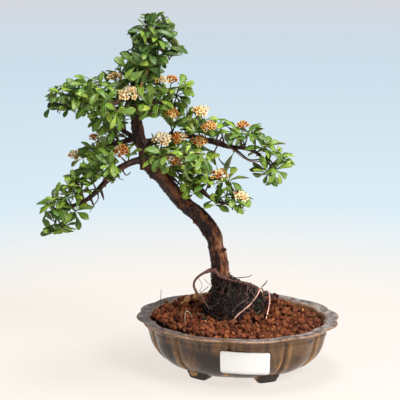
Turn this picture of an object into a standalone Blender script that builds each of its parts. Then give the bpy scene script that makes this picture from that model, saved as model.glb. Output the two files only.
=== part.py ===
"""Pyracantha bonsai in a lobed oval pot, modelled as separate solids.

The pot stands on four feet. Drain screens, soil, the woody plant with its roots,
tie wires, leafy sprays, flower clusters and a blank paper label are objects of their own.
Lengths are in metres, +Z is up and -Y is the tree's front.
"""

import math
import random

import bmesh
import bpy
from mathutils import Matrix, Vector
from mathutils.bvhtree import BVHTree

MM = 0.001
UP = Vector((0.0, 0.0, 1.0))
GAP = 0.3 * MM
GOLDEN_ANGLE = math.radians(137.5)

# Pot
POT_TURN = math.radians(-8.0)
POT_ROUNDNESS = 0.81
RIM_HALF_LENGTH = 95.0 * MM
FLOOR_TOP = 11.0 * MM
LOBE_NOTCHES = (0.0, 37.5, 65.5, 90.0)
STEPS_PER_LOBE = 4
POT_PROFILE = (
    (54.0, 5.0, 0.020),
    (60.0, 6.0, 0.025),
    (70.0, 11.5, 0.035),
    (78.0, 20.0, 0.040),
    (82.0, 31.0, 0.040),
    (83.0, 39.5, 0.038),
    (91.0, 41.5, 0.034),
    (95.0, 44.0, 0.032),
    (95.0, 46.8, 0.032),
    (93.0, 48.5, 0.032),
    (81.5, 47.6, 0.030),
    (79.0, 45.5, 0.030),
    (74.0, 19.0, 0.030),
    (62.0, 11.0, 0.020),
)
DRAIN_RADIUS = 6.0 * MM
DRAIN_SPACING = 56.0 * MM

# Feet: an outline along the base's edge and up, and its place round the oval
FOOT_ANGLES = (-33.0, 33.0, 147.0, 213.0)
FOOT_OUTLINE = (
    (-13.5, 8.5), (-13.0, 4.6), (-10.0, 3.8), (-9.2, 1.6), (-6.0, 0.0),
    (6.0, 0.0), (9.2, 1.6), (10.0, 3.8), (13.0, 4.6), (13.5, 8.5),
)
FOOT_INNER = 0.80
FOOT_OUTER = 0.955
FOOT_OVAL_HALF_LENGTH = 60.0 * MM

# Drain screens
SCREEN_SIDE = 20.0 * MM
SCREEN_THICKNESS = 1.0 * MM
SCREEN_HOLE = 5.0 * MM
SCREEN_HOLES = 2

# Soil
SOIL_FIT = 0.5 * MM
SOIL_TOP = 45.6 * MM
SOIL_HEAP = 5.5 * MM
SOIL_HEAP_SPREAD = 46.0 * MM
SOIL_TILT = 1.6 * MM
GRAIN_RELIEF = 1.25 * MM
SOIL_RINGS = 5
SOIL_BOTTOM = FLOOR_TOP + GAP + SCREEN_THICKNESS + GAP
SOIL_BASE = (64.5, 0.020)
SOIL_WALLS = ((74.0, 19.0, 0.030), (78.6, 43.5, 0.030))
SOIL_RING_SLIDE = 0.35
HEAP_CENTRE_X = -2.0 * MM
RECESS_FLOOR = 36.0 * MM
HOLE_CLEARANCE = 0.45

# Root mound: height, centre x and y, half length and half width
MOUND_SIDES = 14
MOUND_RINGS = (
    (36.6, -2.0, 0.0, 26.5, 20.5),
    (50.0, -2.0, 0.0, 27.5, 21.5),
    (60.0, -2.5, 0.0, 26.0, 18.5),
    (68.5, -3.0, 0.5, 22.0, 14.0),
    (77.0, -7.0, 1.0, 15.0, 10.5),
    (85.0, -13.5, 1.0, 9.0, 8.5),
    (91.0, -15.5, 0.5, 6.0, 6.0),
)
MOUND_ROUGHNESS = 0.07

# Roots that run down the mound, buried ends drawn in below the soil's surface
ROOT_COUNT = 9
ROOT_START = 0.9
ROOT_LEVELS = (87.0, 79.0, 71.0, 62.0, 52.0, 44.0)
ROOT_WANDER = 0.14
ROOT_DIRECTIONS = 90
ROOT_PROUD = (0.99, 1.05)
ROOT_BURIED = 0.86
ROOT_BURIED_BELOW = 55.0
ROOT_RADII = (1.1, 1.9)

# Wood: each point is x, y, z and the radius there
TRUNK = (
    (-15, 0, 80, 8.2), (-16, 0, 90, 8.6), (-17, 0, 100, 7.8), (-20, 1, 113, 7.0),
    (-22, 2, 124, 6.8), (-26, 3, 134, 7.1), (-35, 4, 145.5, 7.0), (-45, 4, 153.5, 6.9),
    (-55, 3, 163, 6.7), (-63, 1, 173, 6.2), (-71, -1, 182.5, 6.1), (-79.5, -3, 191, 6.7),
    (-84, -4, 199, 5.4), (-86.5, -4, 207, 4.9), (-89, -3, 216, 5.5), (-91, -2, 226, 5.1),
    (-92.5, -1, 236, 4.6), (-94, 0, 247, 4.3), (-94.5, 1, 258, 3.6), (-93, 1, 268, 3.0),
    (-87.5, 2, 278, 2.8), (-82, 3, 288, 2.5), (-78, 3, 298, 2.1), (-75.5, 2, 307, 1.7),
    (-75.5, 2, 313, 1.2),
)
BRANCHES = {
    "left_low": (
        (-81, -4, 193, 3.6), (-90, -6, 197, 3.3), (-99, -9, 195, 3.0), (-108, -12, 190.5, 2.9),
        (-118, -16, 181.5, 2.7), (-127, -18, 172, 2.5), (-138, -20, 163, 2.2),
        (-149, -22, 159, 1.9), (-158, -24, 157, 1.5), (-163, -25, 150, 1.2),
    ),
    "left_middle": (
        (-90, -2, 220, 3.2), (-98, 4, 214.5, 2.8), (-107, 12, 210.5, 2.4), (-118, 21, 206, 2.0),
        (-130, 30, 200, 1.6), (-139, 34, 194.5, 1.2),
    ),
    "left_high": (
        (-94, 1, 256, 3.4), (-106, 2, 251.5, 3.0), (-118, 4, 249.5, 2.7), (-131, 6, 250, 2.4),
        (-144, 8, 246.5, 2.0), (-154, 8, 245, 1.6), (-162, 8, 246, 1.2),
    ),
    "right_high": (
        (-93.5, 0, 246, 3.0), (-81, 5, 249, 2.6), (-69, 9, 248, 2.3), (-59, 12, 245, 1.8),
        (-52, 15, 245, 1.3),
    ),
    "right_long": (
        (-86.5, -4, 211, 3.9), (-76, -1, 214.5, 3.4), (-62, 3, 217, 3.0), (-48, 6, 218, 2.7),
        (-36, 8, 215, 2.5), (-22, 8, 211.5, 2.2), (-8, 6, 207.5, 2.0), (5, 4, 206.5, 1.8),
        (15, 2, 203.5, 1.6), (23, 0, 197.5, 1.3), (29, -2, 192, 1.1),
    ),
    "right_low": (
        (-68, 0, 179, 3.6), (-63, 5, 185.5, 3.1), (-53, 8, 186.5, 2.6), (-45, 6, 181, 2.3),
        (-38, 2, 173, 2.0), (-31, -2, 166, 1.7), (-22, -6, 160.5, 1.5), (-12, -10, 158.5, 1.2),
    ),
    "front_right": (
        (-84.5, -4, 201, 2.8), (-77, -17, 204, 2.3), (-67, -28, 206.5, 1.9), (-54, -37, 208.5, 1.5),
        (-43, -42, 209, 1.1),
    ),
    "front_left": (
        (-94, 0, 249, 2.7), (-98.5, -14, 253.5, 2.2), (-104, -26, 255, 1.8), (-109, -36, 252.5, 1.2),
    ),
    "back_high": (
        (-91.5, -1, 229, 2.8), (-91, 14, 231.5, 2.3), (-86, 30, 233, 1.8), (-78, 44, 235, 1.2),
    ),
    "back_low": (
        (-83, -3, 197, 2.7), (-81, 14, 199, 2.3), (-71, 31, 197, 1.8), (-59, 46, 194.5, 1.2),
    ),
    "back_left": (
        (-87.5, -3, 210, 2.7), (-98, 17, 215.5, 2.3), (-111, 33, 220, 1.8), (-124, 46, 219, 1.2),
    ),
    "apex_left": (
        (-79.5, 3, 293, 1.9), (-87, 0, 294.5, 1.5), (-93, -3, 292.5, 1.1),
    ),
    "apex_right": (
        (-78.5, 3, 297, 1.8), (-71.5, -1, 297.5, 1.5), (-66, -3, 294.5, 1.1),
    ),
}

# Thick bark-covered surface roots, given as the wood is
SURFACE_ROOTS = (
    (
        (-17, -4, 92, 3.4), (-25, -8, 95.5, 2.6), (-32, -10, 93, 1.8), (-38, -11, 88.5, 1.7),
        (-40.5, -11, 82.5, 1.6), (-38.5, -11, 76, 1.6), (-34.5, -10, 69, 1.5),
        (-29, -8.5, 61, 1.5), (-24, -7, 53, 1.4), (-21, -6, 45, 1.3),
    ),
    (
        (-20, -5, 93, 3.2), (-15, -10, 89.5, 2.6), (-6, -11, 87, 2.0), (4, -10, 84, 1.8),
        (12, -7.5, 81.5, 1.7), (18, -4, 77.5, 1.6), (23, -1, 70, 1.6), (24.5, 0, 60, 1.5),
        (21, 0, 48, 1.4),
    ),
)

# Knots and stubs of cut twigs: centre, direction, length and radius
STUBS = (
    ((-27, -2, 128), (-1.0, -0.5, 0.1), 9.0, 2.6),
    ((-41, -1.5, 151.5), (-0.35, -0.8, 0.6), 8.5, 2.0),
    ((-15, -3, 113), (0.9, -0.6, 0.2), 7.5, 2.4),
    ((-58, 0, 160), (0.6, -0.7, -0.6), 8.5, 1.7),
    ((-68, -3, 186), (0.8, -0.7, 0.3), 8.0, 1.5),
    ((-83, -5, 192), (-0.9, -0.5, -0.2), 8.0, 2.2),
    ((-93, -3, 231), (-0.8, -0.8, 0.2), 7.0, 1.7),
    ((-46, 9, 157), (-0.2, 1.0, 0.4), 7.0, 2.2),
    ((-124, -18, 175), (0.3, -0.3, -1.0), 13.0, 0.9),
    ((-133, -20, 166), (0.35, 0.3, -1.0), 11.0, 0.8),
    ((-90.5, -1.8, 293.4), (-0.7, 0.7, 0.5), 8.0, 0.7),
    ((-77, 3, 302), (-0.85, -0.2, 0.6), 9.0, 0.7),
    ((-45, 6, 217), (0.1, -0.4, 0.9), 8.0, 2.4),
)

STUB_KNEE = 0.55
STUB_TAPER = (0.8, 0.5)

# Wire that ties the tree down, a tube through these points
WIRE_RADIUS = 0.75 * MM
WIRES = {
    "tie_wire_front": (
        (17.2, -6.8, 73), (13.1, -12.8, 68), (7.8, -16.9, 63), (1.7, -20.9, 57), (-2.7, -25.3, 50.1),
    ),
    "tie_wire_right": (
        (28, -5.5, 76), (29.4, -9, 70), (29.2, -14, 63), (27.8, -19, 55), (26.3, -22, 49.9),
    ),
}

# Paper label on the pot's front
LABEL_LENGTH = 45.0 * MM
LABEL_HEIGHT = 20.5 * MM
LABEL_THICKNESS = 0.6 * MM
LABEL_TOP = 37.0 * MM
LABEL_CENTRE_ANGLE = math.radians(10.0)
LABEL_OVAL_HALF_LENGTH = 83.8 * MM
LABEL_LEAN = 1.2 * MM
LABEL_COLUMNS = 6

# Leaves
LEAF_LENGTH = 16.5 * MM
LEAF_WIDTH = 7.0 * MM
LEAF_THICKNESS = 1.1 * MM
LEAF_OUTLINE = ((0.45, 0.35), (0.79, 0.50))
LEAF_RIDGE = 0.58
LEAF_FOLD = 0.16
LEAF_ARCH = 0.07
LEAF_SPREAD = (36.0, 92.0)
LEAF_CLEARANCE = 0.45 * MM
LEAF_TRIES = 40
LEAF_LENGTHS = (0.84, 1.12)
LEAF_WIDTHS = (0.88, 1.08)
LEAF_LIFT = 0.12
FACE_MATCH = 0.62

# Twigs and the buds at their ends
BUD_RADIUS = 1.5 * MM
TWIG_RADIUS = 0.95 * MM
TWIG_TAPER = (1.0, 0.9, 0.8)
TWIG_ARCH = 0.05
TWIG_BOW = 0.3
TWIG_LIFT = 0.45
SIDE_TWIG_START = 0.8
LEAST_STEEPNESS = 0.35
PATH_TRIES = 80
PATH_DRIFT = 7.0 * MM

# Flowers
FLORET_RADIUS = 2.7 * MM
FLORET_DEPTH = 1.3 * MM
PETAL_NOTCH = 0.52
PETAL_LIFT = 0.3 * MM
DOME_HEIGHT = 5.4 * MM
DOME_GROWTH = (0.80, 0.075)
DOME_SPREAD = 0.82
HUB_RADIUS = 1.2 * MM
STALK_RADIUS = 0.65 * MM
BLOOM_LEAN = Vector((0.0, -0.5, 0.6))

# Sprays: branch it grows on, share of the branch's length, and the places of its rosettes,
# each with its number of leaves
SPRAYS = {
    "spray_apex_top": ("trunk", 0.995, ((-77.5, 0, 317.5, 8), (-70, 9, 308.5, 6))),
    "spray_apex_left": ("apex_left", 0.97, ((-99, -6, 290.5, 7), (-93, -12, 303, 6))),
    "spray_apex_right": ("apex_right", 0.97, ((-65, -8, 300, 7), (-62, 4, 287, 6))),
    "spray_apex_back": ("trunk", 0.90, ((-80, 19, 300, 7), (-90, 23, 284, 7))),
    "spray_apex_front": ("trunk", 0.88, ((-82, -18, 298, 6), (-82, -20, 282, 6))),
    "spray_leader": ("trunk", 0.80, ((-97, -12, 277, 6), (-77, -6, 271, 6))),
    "spray_left_high_tip": ("left_high", 0.99, ((-167, 7, 249, 7), (-164, 14, 238, 4))),
    "spray_left_high_front": ("left_high", 0.70, ((-143, -8, 258, 8), (-146, 22, 237, 6))),
    "spray_left_high_twig": ("left_high", 0.55, ((-129, -5, 265, 6),)),
    "spray_left_high_low": ("left_high", 0.42, ((-130, -17, 253, 7), (-119, 21, 262, 7))),
    "spray_front_left": ("front_left", 0.98, ((-115, -41, 256, 7), (-107, -45, 247, 6))),
    "spray_trunk_high": ("left_high", 0.12, ((-106, -8, 268, 6), (-101, 17, 270, 6))),
    "spray_left_middle": ("left_middle", 0.97, ((-145, 38, 191, 7), (-134, 24, 203, 6))),
    "spray_left_middle_low": ("left_middle", 0.47, ((-121, 20, 196, 6), (-114, 30, 212, 5))),
    "spray_back_left": ("back_left", 0.98, ((-130, 50, 213, 7), (-124, 42, 229, 7))),
    "spray_back_left_inner": ("back_left", 0.50, ((-106, 38, 230, 7),)),
    "spray_left_low_top": ("left_low", 0.42, ((-122, -26, 190, 7), (-112, -30, 201, 6))),
    "spray_left_low_middle": ("left_low", 0.64, ((-139, -10, 179, 7), (-148, -14, 168, 6))),
    "spray_left_low_tip": ("left_low", 0.90, ((-160, -30, 163, 8),)),
    "spray_left_low_end": ("left_low", 0.995, ((-165, -24, 143, 8),)),
    "spray_right_high": ("right_high", 0.30, ((-79, -7, 260, 6), (-78, -17, 246, 6))),
    "spray_right_high_tip": ("right_high", 0.98, ((-57, 8, 255, 8), (-46, 18, 243, 7))),
    "spray_back_high": ("back_high", 0.98, ((-72, 53, 243, 7), (-73, 54, 229, 7))),
    "spray_right_long_twig": ("right_long", 0.24, ((-62, -3, 231, 7), (-70, 14, 208, 6))),
    "spray_right_long_middle": ("right_long", 0.45, ((-43, 14, 229, 7), (-30, 3, 232, 6))),
    "spray_right_long_outer": ("right_long", 0.62, ((-17, 13, 226, 7), (-22, 3, 203, 6))),
    "spray_right_long_end": ("right_long", 0.78, ((3, 2, 216, 7), (-4, 20, 200, 6))),
    "spray_right_long_tip": ("right_long", 0.99, ((24, 9, 205, 6), (34, -5, 188, 8))),
    "spray_front_right": ("front_right", 0.98, ((-35, -46, 211, 8), (-49, -46, 201, 6))),
    "spray_back_low": ("back_low", 0.98, ((-51, 55, 191, 8),)),
    "spray_right_low": ("right_low", 0.36, ((-50, 24, 191, 7), (-22, 10, 172, 6))),
    "spray_right_low_tip": ("right_low", 0.99, ((-5, -13, 160, 8),)),
}

# Flower clusters: branch, share of its length, centre, number of florets and their colour
BLOOMS = {
    "bloom_front_big": ("front_left", 0.30, (-97, -24, 262), 8, "cream"),
    "bloom_left_top": ("left_high", 0.20, (-111, 4, 272), 4, "cream"),
    "bloom_right_top": ("right_high", 0.22, (-71, 3, 270), 4, "cream"),
    "bloom_right_top_tip": ("right_high", 0.72, (-61, 16, 268), 4, "rust"),
    "bloom_right_under": ("right_high", 0.70, (-60, -6, 241), 4, "rust"),
    "bloom_long_top": ("right_long", 0.48, (-34, -5, 243), 5, "cream"),
    "bloom_long_front": ("right_long", 0.55, (-27, -12, 230), 5, "rust"),
    "bloom_long_end": ("right_long", 0.74, (4, 14, 228), 4, "rust"),
    "bloom_middle_cream": ("right_long", 0.16, (-69, -15, 219), 5, "cream"),
    "bloom_middle_rust": ("right_long", 0.30, (-54, -12, 220), 4, "rust"),
    "bloom_long_low": ("right_long", 0.42, (-35, -7, 216), 4, "rust"),
    "bloom_centre": ("right_low", 0.10, (-58, -14, 201), 5, "rust"),
    "bloom_left_trunk": ("left_middle", 0.20, (-105, -12, 208), 5, "rust"),
    "bloom_low_right": ("right_low", 0.62, (-18, -10, 186), 5, "rust"),
    "bloom_low_tip": ("right_low", 0.82, (2, -24, 169), 4, "cream"),
    "bloom_left_back": ("left_middle", 0.66, (-133, 27, 213), 3, "rust"),
    "bloom_left_end": ("left_middle", 0.93, (-152, 30, 196), 3, "cream"),
}

COLOURS = {
    "glaze": ((0.10, 0.075, 0.055), 0.22),
    "soil": ((0.20, 0.065, 0.035), 0.95),
    "bark": ((0.13, 0.06, 0.035), 0.85),
    "screen": ((0.03, 0.03, 0.03), 0.6),
    "copper": ((0.45, 0.22, 0.17), 0.4),
    "paper": ((0.82, 0.82, 0.80), 0.8),
    "leaf": ((0.10, 0.26, 0.03), 0.35),
    "cream": ((0.85, 0.72, 0.48), 0.7),
    "rust": ((0.60, 0.20, 0.05), 0.75),
}


def mm(x, y, z):
    """Return a point given in millimetres as a vector in metres."""
    return Vector((x, y, z)) * MM


def clear_scene():
    """Remove every object of the open scene."""
    for item in list(bpy.data.objects):
        bpy.data.objects.remove(item, do_unlink=True)


def make_materials():
    """Make one Principled material for each colour of the object."""
    materials = {}
    for name, (colour, roughness) in COLOURS.items():
        material = bpy.data.materials.new(name)
        material.use_nodes = True
        shader = material.node_tree.nodes["Principled BSDF"]
        shader.inputs["Base Color"].default_value = (*colour, 1.0)
        shader.inputs["Roughness"].default_value = roughness
        shader.inputs["Metallic"].default_value = 1.0 if name == "copper" else 0.0
        materials[name] = material
    return materials


def add_object(name, mesh, collection):
    """Link a mesh to a collection as an object."""
    item = bpy.data.objects.new(name, mesh)
    collection.objects.link(item)
    return item


def add_solid(name, shape, collection):
    """Turn a bmesh into an object whose faces point out."""
    bmesh.ops.recalc_face_normals(shape, faces=shape.faces)
    mesh = bpy.data.meshes.new(name)
    shape.to_mesh(mesh)
    shape.free()
    return add_object(name, mesh, collection)


def evaluated_mesh(item):
    """Return an object's mesh with its modifiers or its bevel applied."""
    graph = bpy.context.evaluated_depsgraph_get()
    graph.update()
    return bpy.data.meshes.new_from_object(item.evaluated_get(graph))


def replace_mesh(item, mesh):
    """Give an object a new mesh and take its modifiers off."""
    item.modifiers.clear()
    item.data = mesh


def unite(item, others, solver="EXACT"):
    """Join solids to the first one by a Boolean union on a collection, and apply it."""
    joined = bpy.data.collections.new(item.name + "_joined")
    bpy.context.scene.collection.children.link(joined)
    for other in others:
        for home in list(other.users_collection):
            home.objects.unlink(other)
        joined.objects.link(other)
    union = item.modifiers.new("join", "BOOLEAN")
    union.operation = "UNION"
    union.operand_type = "COLLECTION"
    union.collection = joined
    union.solver = solver
    replace_mesh(item, evaluated_mesh(item))
    for other in others:
        bpy.data.objects.remove(other, do_unlink=True)
    bpy.data.collections.remove(joined)
    return item


def cut(item, cutter):
    """Take one solid away from another and remove the cutter."""
    difference = item.modifiers.new("cut", "BOOLEAN")
    difference.operation = "DIFFERENCE"
    difference.object = cutter
    difference.solver = "EXACT"
    cutter.hide_render = True
    cutter.display_type = "WIRE"
    replace_mesh(item, evaluated_mesh(item))
    bpy.data.objects.remove(cutter, do_unlink=True)
    return item


def tube(name, points, radii, collection, resolution=1):
    """Make a closed tube from a bevelled curve through points, with a radius at each."""
    curve = bpy.data.curves.new(name, "CURVE")
    curve.dimensions = "3D"
    curve.bevel_depth = 1.0
    curve.bevel_resolution = resolution
    curve.use_fill_caps = True
    curve.twist_mode = "MINIMUM"
    spline = curve.splines.new("POLY")
    spline.points.add(len(points) - 1)
    for knot, point, radius in zip(spline.points, points, radii):
        knot.co = (*point, 1.0)
        knot.radius = radius
    guide = add_object(name + "_guide", curve, collection)
    shape = bmesh.new()
    shape.from_mesh(evaluated_mesh(guide))
    bmesh.ops.remove_doubles(shape, verts=shape.verts, dist=0.01 * MM)
    bpy.data.objects.remove(guide, do_unlink=True)
    return add_solid(name, shape, collection)


def loft(name, rings, collection):
    """Make a closed solid through rings of equal point counts, capped at both ends."""
    shape = bmesh.new()
    rows = [[shape.verts.new(point) for point in ring] for ring in rings]
    count = len(rows[0])
    for low, high in zip(rows, rows[1:]):
        for k in range(count):
            shape.faces.new((low[k], low[(k + 1) % count], high[(k + 1) % count], high[k]))
    shape.faces.new(rows[0][::-1])
    shape.faces.new(rows[-1])
    return add_solid(name, shape, collection)


def notch_angles():
    """Return the angles of the rim's notches all the way round, from the front centre."""
    quarter = LOBE_NOTCHES
    half = quarter + tuple(180.0 - angle for angle in reversed(quarter[:-1]))
    whole = half + tuple(360.0 - angle for angle in reversed(half[1:-1]))
    return [math.radians(angle) for angle in whole]


def lobed_ring(half_length, height, cusp):
    """Return one turn of the pot's outline, lobes that meet in sharp notches."""
    angles = notch_angles()
    points = []
    for k, start in enumerate(angles):
        end = angles[(k + 1) % len(angles)]
        if end <= start:
            end += 2.0 * math.pi
        for step in range(STEPS_PER_LOBE):
            share = step / STEPS_PER_LOBE
            angle = start + share * (end - start)
            size = half_length * (1.0 - cusp * (1.0 - math.sin(math.pi * share)))
            x = size * math.sin(angle)
            y = -size * POT_ROUNDNESS * math.cos(angle)
            points.append(Vector((x, y, height)))
    return points


def turn_with_pot(item):
    """Turn a piece that belongs to the pot by the pot's own turn."""
    item.data.transform(Matrix.Rotation(POT_TURN, 4, "Z"))


def make_foot(index, angle, collection):
    """Make one scalloped foot that follows the edge of the pot's base."""
    centre = math.radians(angle)
    shape = bmesh.new()
    loops = []
    for share in (FOOT_INNER, FOOT_OUTER):
        loop = []
        for along, height in FOOT_OUTLINE:
            turn = centre + along * MM / FOOT_OVAL_HALF_LENGTH
            size = FOOT_OVAL_HALF_LENGTH * share
            x = size * math.sin(turn)
            y = -size * POT_ROUNDNESS * math.cos(turn)
            loop.append(shape.verts.new((x, y, height * MM)))
        loops.append(loop)
    inner, outer = loops
    count = len(inner)
    for k in range(count):
        nxt = (k + 1) % count
        shape.faces.new((inner[k], inner[nxt], outer[nxt], outer[k]))
    shape.faces.new(inner[::-1])
    shape.faces.new(outer)
    return add_solid(f"foot_{index}", shape, collection)


def drain_places():
    """Return the centres of the pot's two drain holes, before the pot is turned."""
    return [Vector((side * DRAIN_SPACING / 2.0, 0.0, 0.0)) for side in (-1, 1)]


def make_pot(collection, material):
    """Make the pot with its lobed wall, everted lip, feet and drain holes."""
    rings = [lobed_ring(size * MM, height * MM, cusp) for size, height, cusp in POT_PROFILE]
    pot = loft("pot", rings, collection)
    feet = [make_foot(k, angle, collection) for k, angle in enumerate(FOOT_ANGLES)]
    unite(pot, feet)
    for place in drain_places():
        bpy.ops.mesh.primitive_cylinder_add(
            vertices=14, radius=DRAIN_RADIUS, depth=4.0 * FLOOR_TOP, location=place
        )
        cut(pot, bpy.context.object)
    turn_with_pot(pot)
    pot.data.materials.append(material)
    return pot


def make_screens(collection, material):
    """Make the two square screens that lie over the drain holes inside the pot."""
    pitch = SCREEN_SIDE / SCREEN_HOLES
    for name, place in zip(("drain_screen_left", "drain_screen_right"), drain_places()):
        shape = bmesh.new()
        bmesh.ops.create_cube(shape, size=1.0)
        bmesh.ops.scale(shape, vec=(SCREEN_SIDE, SCREEN_SIDE, SCREEN_THICKNESS), verts=shape.verts)
        screen = add_solid(name, shape, collection)
        for row in range(SCREEN_HOLES):
            for column in range(SCREEN_HOLES):
                x = (column - (SCREEN_HOLES - 1) / 2.0) * pitch
                y = (row - (SCREEN_HOLES - 1) / 2.0) * pitch
                bpy.ops.mesh.primitive_cube_add(size=SCREEN_HOLE, location=(x, y, 0.0))
                cut(screen, bpy.context.object)
        height = FLOOR_TOP + GAP + SCREEN_THICKNESS / 2.0
        screen.data.transform(Matrix.Translation(place + Vector((0.0, 0.0, height))))
        turn_with_pot(screen)
        screen.data.materials.append(material)


def mound_outline(height, sides):
    """Return a smooth turn round the root mound at a height in millimetres."""
    for low, high in zip(MOUND_RINGS, MOUND_RINGS[1:]):
        if low[0] <= height <= high[0]:
            share = (height - low[0]) / (high[0] - low[0])
            _, x, y, length, width = [a + share * (b - a) for a, b in zip(low, high)]
            break
    turn = []
    for k in range(sides):
        angle = 2.0 * math.pi * k / sides
        turn.append(mm(x + length * math.cos(angle), y + width * math.sin(angle), height))
    return turn


def soil_height(x, y):
    """Return the height of the soil's surface, heaped a little round the roots."""
    distance = math.hypot(x - HEAP_CENTRE_X, y / POT_ROUNDNESS)
    heap = SOIL_HEAP * math.exp(-((distance / SOIL_HEAP_SPREAD) ** 2))
    tilt = SOIL_TILT * (x + y) / RIM_HALF_LENGTH
    return SOIL_TOP + heap - tilt


def make_soil(collection, material):
    """Make the soil with a grainy surface and a plain hole that the roots stand in."""
    rng = random.Random(41)
    size, cusp = SOIL_BASE
    rings = [lobed_ring(size * MM - SOIL_FIT, SOIL_BOTTOM, cusp)]
    rings += [lobed_ring(size * MM - SOIL_FIT, height * MM, cusp) for size, height, cusp in SOIL_WALLS]
    turn = Matrix.Rotation(POT_TURN, 4, "Z")
    rings = [[turn @ point for point in ring] for ring in rings]
    edge = rings[-1]
    hole = []
    _, x, y, length, width = MOUND_RINGS[1]
    hole_centre = mm(x, y, 0.0)
    hole_length = (length + HOLE_CLEARANCE) * MM
    hole_width = (width + HOLE_CLEARANCE) * MM
    for point in edge:
        away = point - hole_centre
        angle = math.atan2(away.y / hole_width, away.x / hole_length)
        reach = Vector((hole_length * math.cos(angle), hole_width * math.sin(angle), 0.0))
        hole.append(hole_centre + reach)
    for step in range(1, SOIL_RINGS + 1):
        share = step / SOIL_RINGS
        ring = []
        for outer, inner in zip(edge, hole):
            last = step == SOIL_RINGS
            slide = 0.0 if last else rng.uniform(-SOIL_RING_SLIDE, SOIL_RING_SLIDE) / SOIL_RINGS
            point = outer.lerp(inner, share + slide)
            relief = rng.uniform(-GRAIN_RELIEF, GRAIN_RELIEF)
            point.z = soil_height(point.x, point.y) + relief
            ring.append(point)
        rings.append(ring)
    rings.append([Vector((point.x, point.y, RECESS_FLOOR)) for point in hole])
    soil = loft("soil", rings, collection)
    soil.data.materials.append(material)
    return soil


def wood_points(rows):
    """Split rows of x, y, z and radius into points and radii."""
    points = [mm(*row[:3]) for row in rows]
    radii = [row[3] * MM for row in rows]
    return points, radii


def make_mound(collection):
    """Make the rough core of the root mound."""
    rng = random.Random(7)
    rings = []
    for height, *_ in MOUND_RINGS:
        ring = mound_outline(height, MOUND_SIDES)
        centre = sum(ring, Vector()) / len(ring)
        rings.append([centre + (p - centre) * (1.0 - rng.uniform(0.0, MOUND_ROUGHNESS)) for p in ring])
    return loft("mound", rings, collection)


def make_fibre_roots(collection):
    """Make the roots that run down the mound from the trunk's foot into the soil."""
    rng = random.Random(19)
    roots = []
    for k in range(ROOT_COUNT):
        angle = 2.0 * math.pi * (k + ROOT_START) / ROOT_COUNT
        points = []
        for level in ROOT_LEVELS:
            angle += rng.uniform(-ROOT_WANDER, ROOT_WANDER)
            ring = mound_outline(level, ROOT_DIRECTIONS)
            centre = sum(ring, Vector()) / len(ring)
            step = int(round(ROOT_DIRECTIONS * angle / (2.0 * math.pi)))
            place = ring[step % ROOT_DIRECTIONS]
            proud = rng.uniform(*ROOT_PROUD) if level > ROOT_BURIED_BELOW else ROOT_BURIED
            points.append(centre + (place - centre) * proud)
        radii = [rng.uniform(*ROOT_RADII) * MM for _ in ROOT_LEVELS]
        roots.append(tube(f"root_{k}", points, radii, collection, resolution=0))
    return roots


def make_stub(index, stub, collection):
    """Make the stub of a cut twig, which narrows to a blunt end."""
    place, direction, length, radius = stub
    start = mm(*place)
    way = Vector(direction).normalized() * length * MM
    points = (start, start + way * STUB_KNEE, start + way)
    radii = [radius * MM * share for share in (1.0, *STUB_TAPER)]
    return tube(f"stub_{index}", points, radii, collection, resolution=0)


def make_wood(collection, material):
    """Make trunk, branches and roots, which grew as one piece."""
    points, radii = wood_points(TRUNK)
    trunk = tube("trunk_and_roots", points, radii, collection, resolution=2)
    others = [make_mound(collection)]
    for name, rows in BRANCHES.items():
        points, radii = wood_points(rows)
        others.append(tube(name, points, radii, collection))
    for k, rows in enumerate(SURFACE_ROOTS):
        points, radii = wood_points(rows)
        others.append(tube(f"surface_root_{k}", points, radii, collection))
    others += [make_stub(k, stub, collection) for k, stub in enumerate(STUBS)]
    others += make_fibre_roots(collection)
    unite(trunk, others)
    trunk.data.materials.append(material)
    return trunk


def make_wires(collection, material):
    """Make the wires that tie the tree down over its roots."""
    for name, rows in WIRES.items():
        points = [mm(*row) for row in rows]
        wire = tube(name, points, [WIRE_RADIUS] * len(points), collection)
        wire.data.materials.append(material)


def make_label(collection, material):
    """Make the blank paper label that follows the pot's front."""
    half_angle = LABEL_LENGTH / (2.0 * LABEL_OVAL_HALF_LENGTH)
    shape = bmesh.new()
    columns = []
    for step in range(LABEL_COLUMNS + 1):
        angle = LABEL_CENTRE_ANGLE + half_angle * (2.0 * step / LABEL_COLUMNS - 1.0)
        column = []
        for height, lean in ((LABEL_TOP, 0.0), (LABEL_TOP - LABEL_HEIGHT, LABEL_LEAN)):
            size = LABEL_OVAL_HALF_LENGTH - lean
            x = size * math.sin(angle)
            y = -size * POT_ROUNDNESS * math.cos(angle)
            column.append(shape.verts.new((x, y, height)))
        columns.append(column)
    for left, right in zip(columns, columns[1:]):
        shape.faces.new((left[0], left[1], right[1], right[0]))
    label = add_solid("pot_label", shape, collection)
    sheet = label.modifiers.new("paper", "SOLIDIFY")
    sheet.thickness = LABEL_THICKNESS
    sheet.offset = 0.0
    turn_with_pot(label)
    label.data.materials.append(material)
    return label


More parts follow.
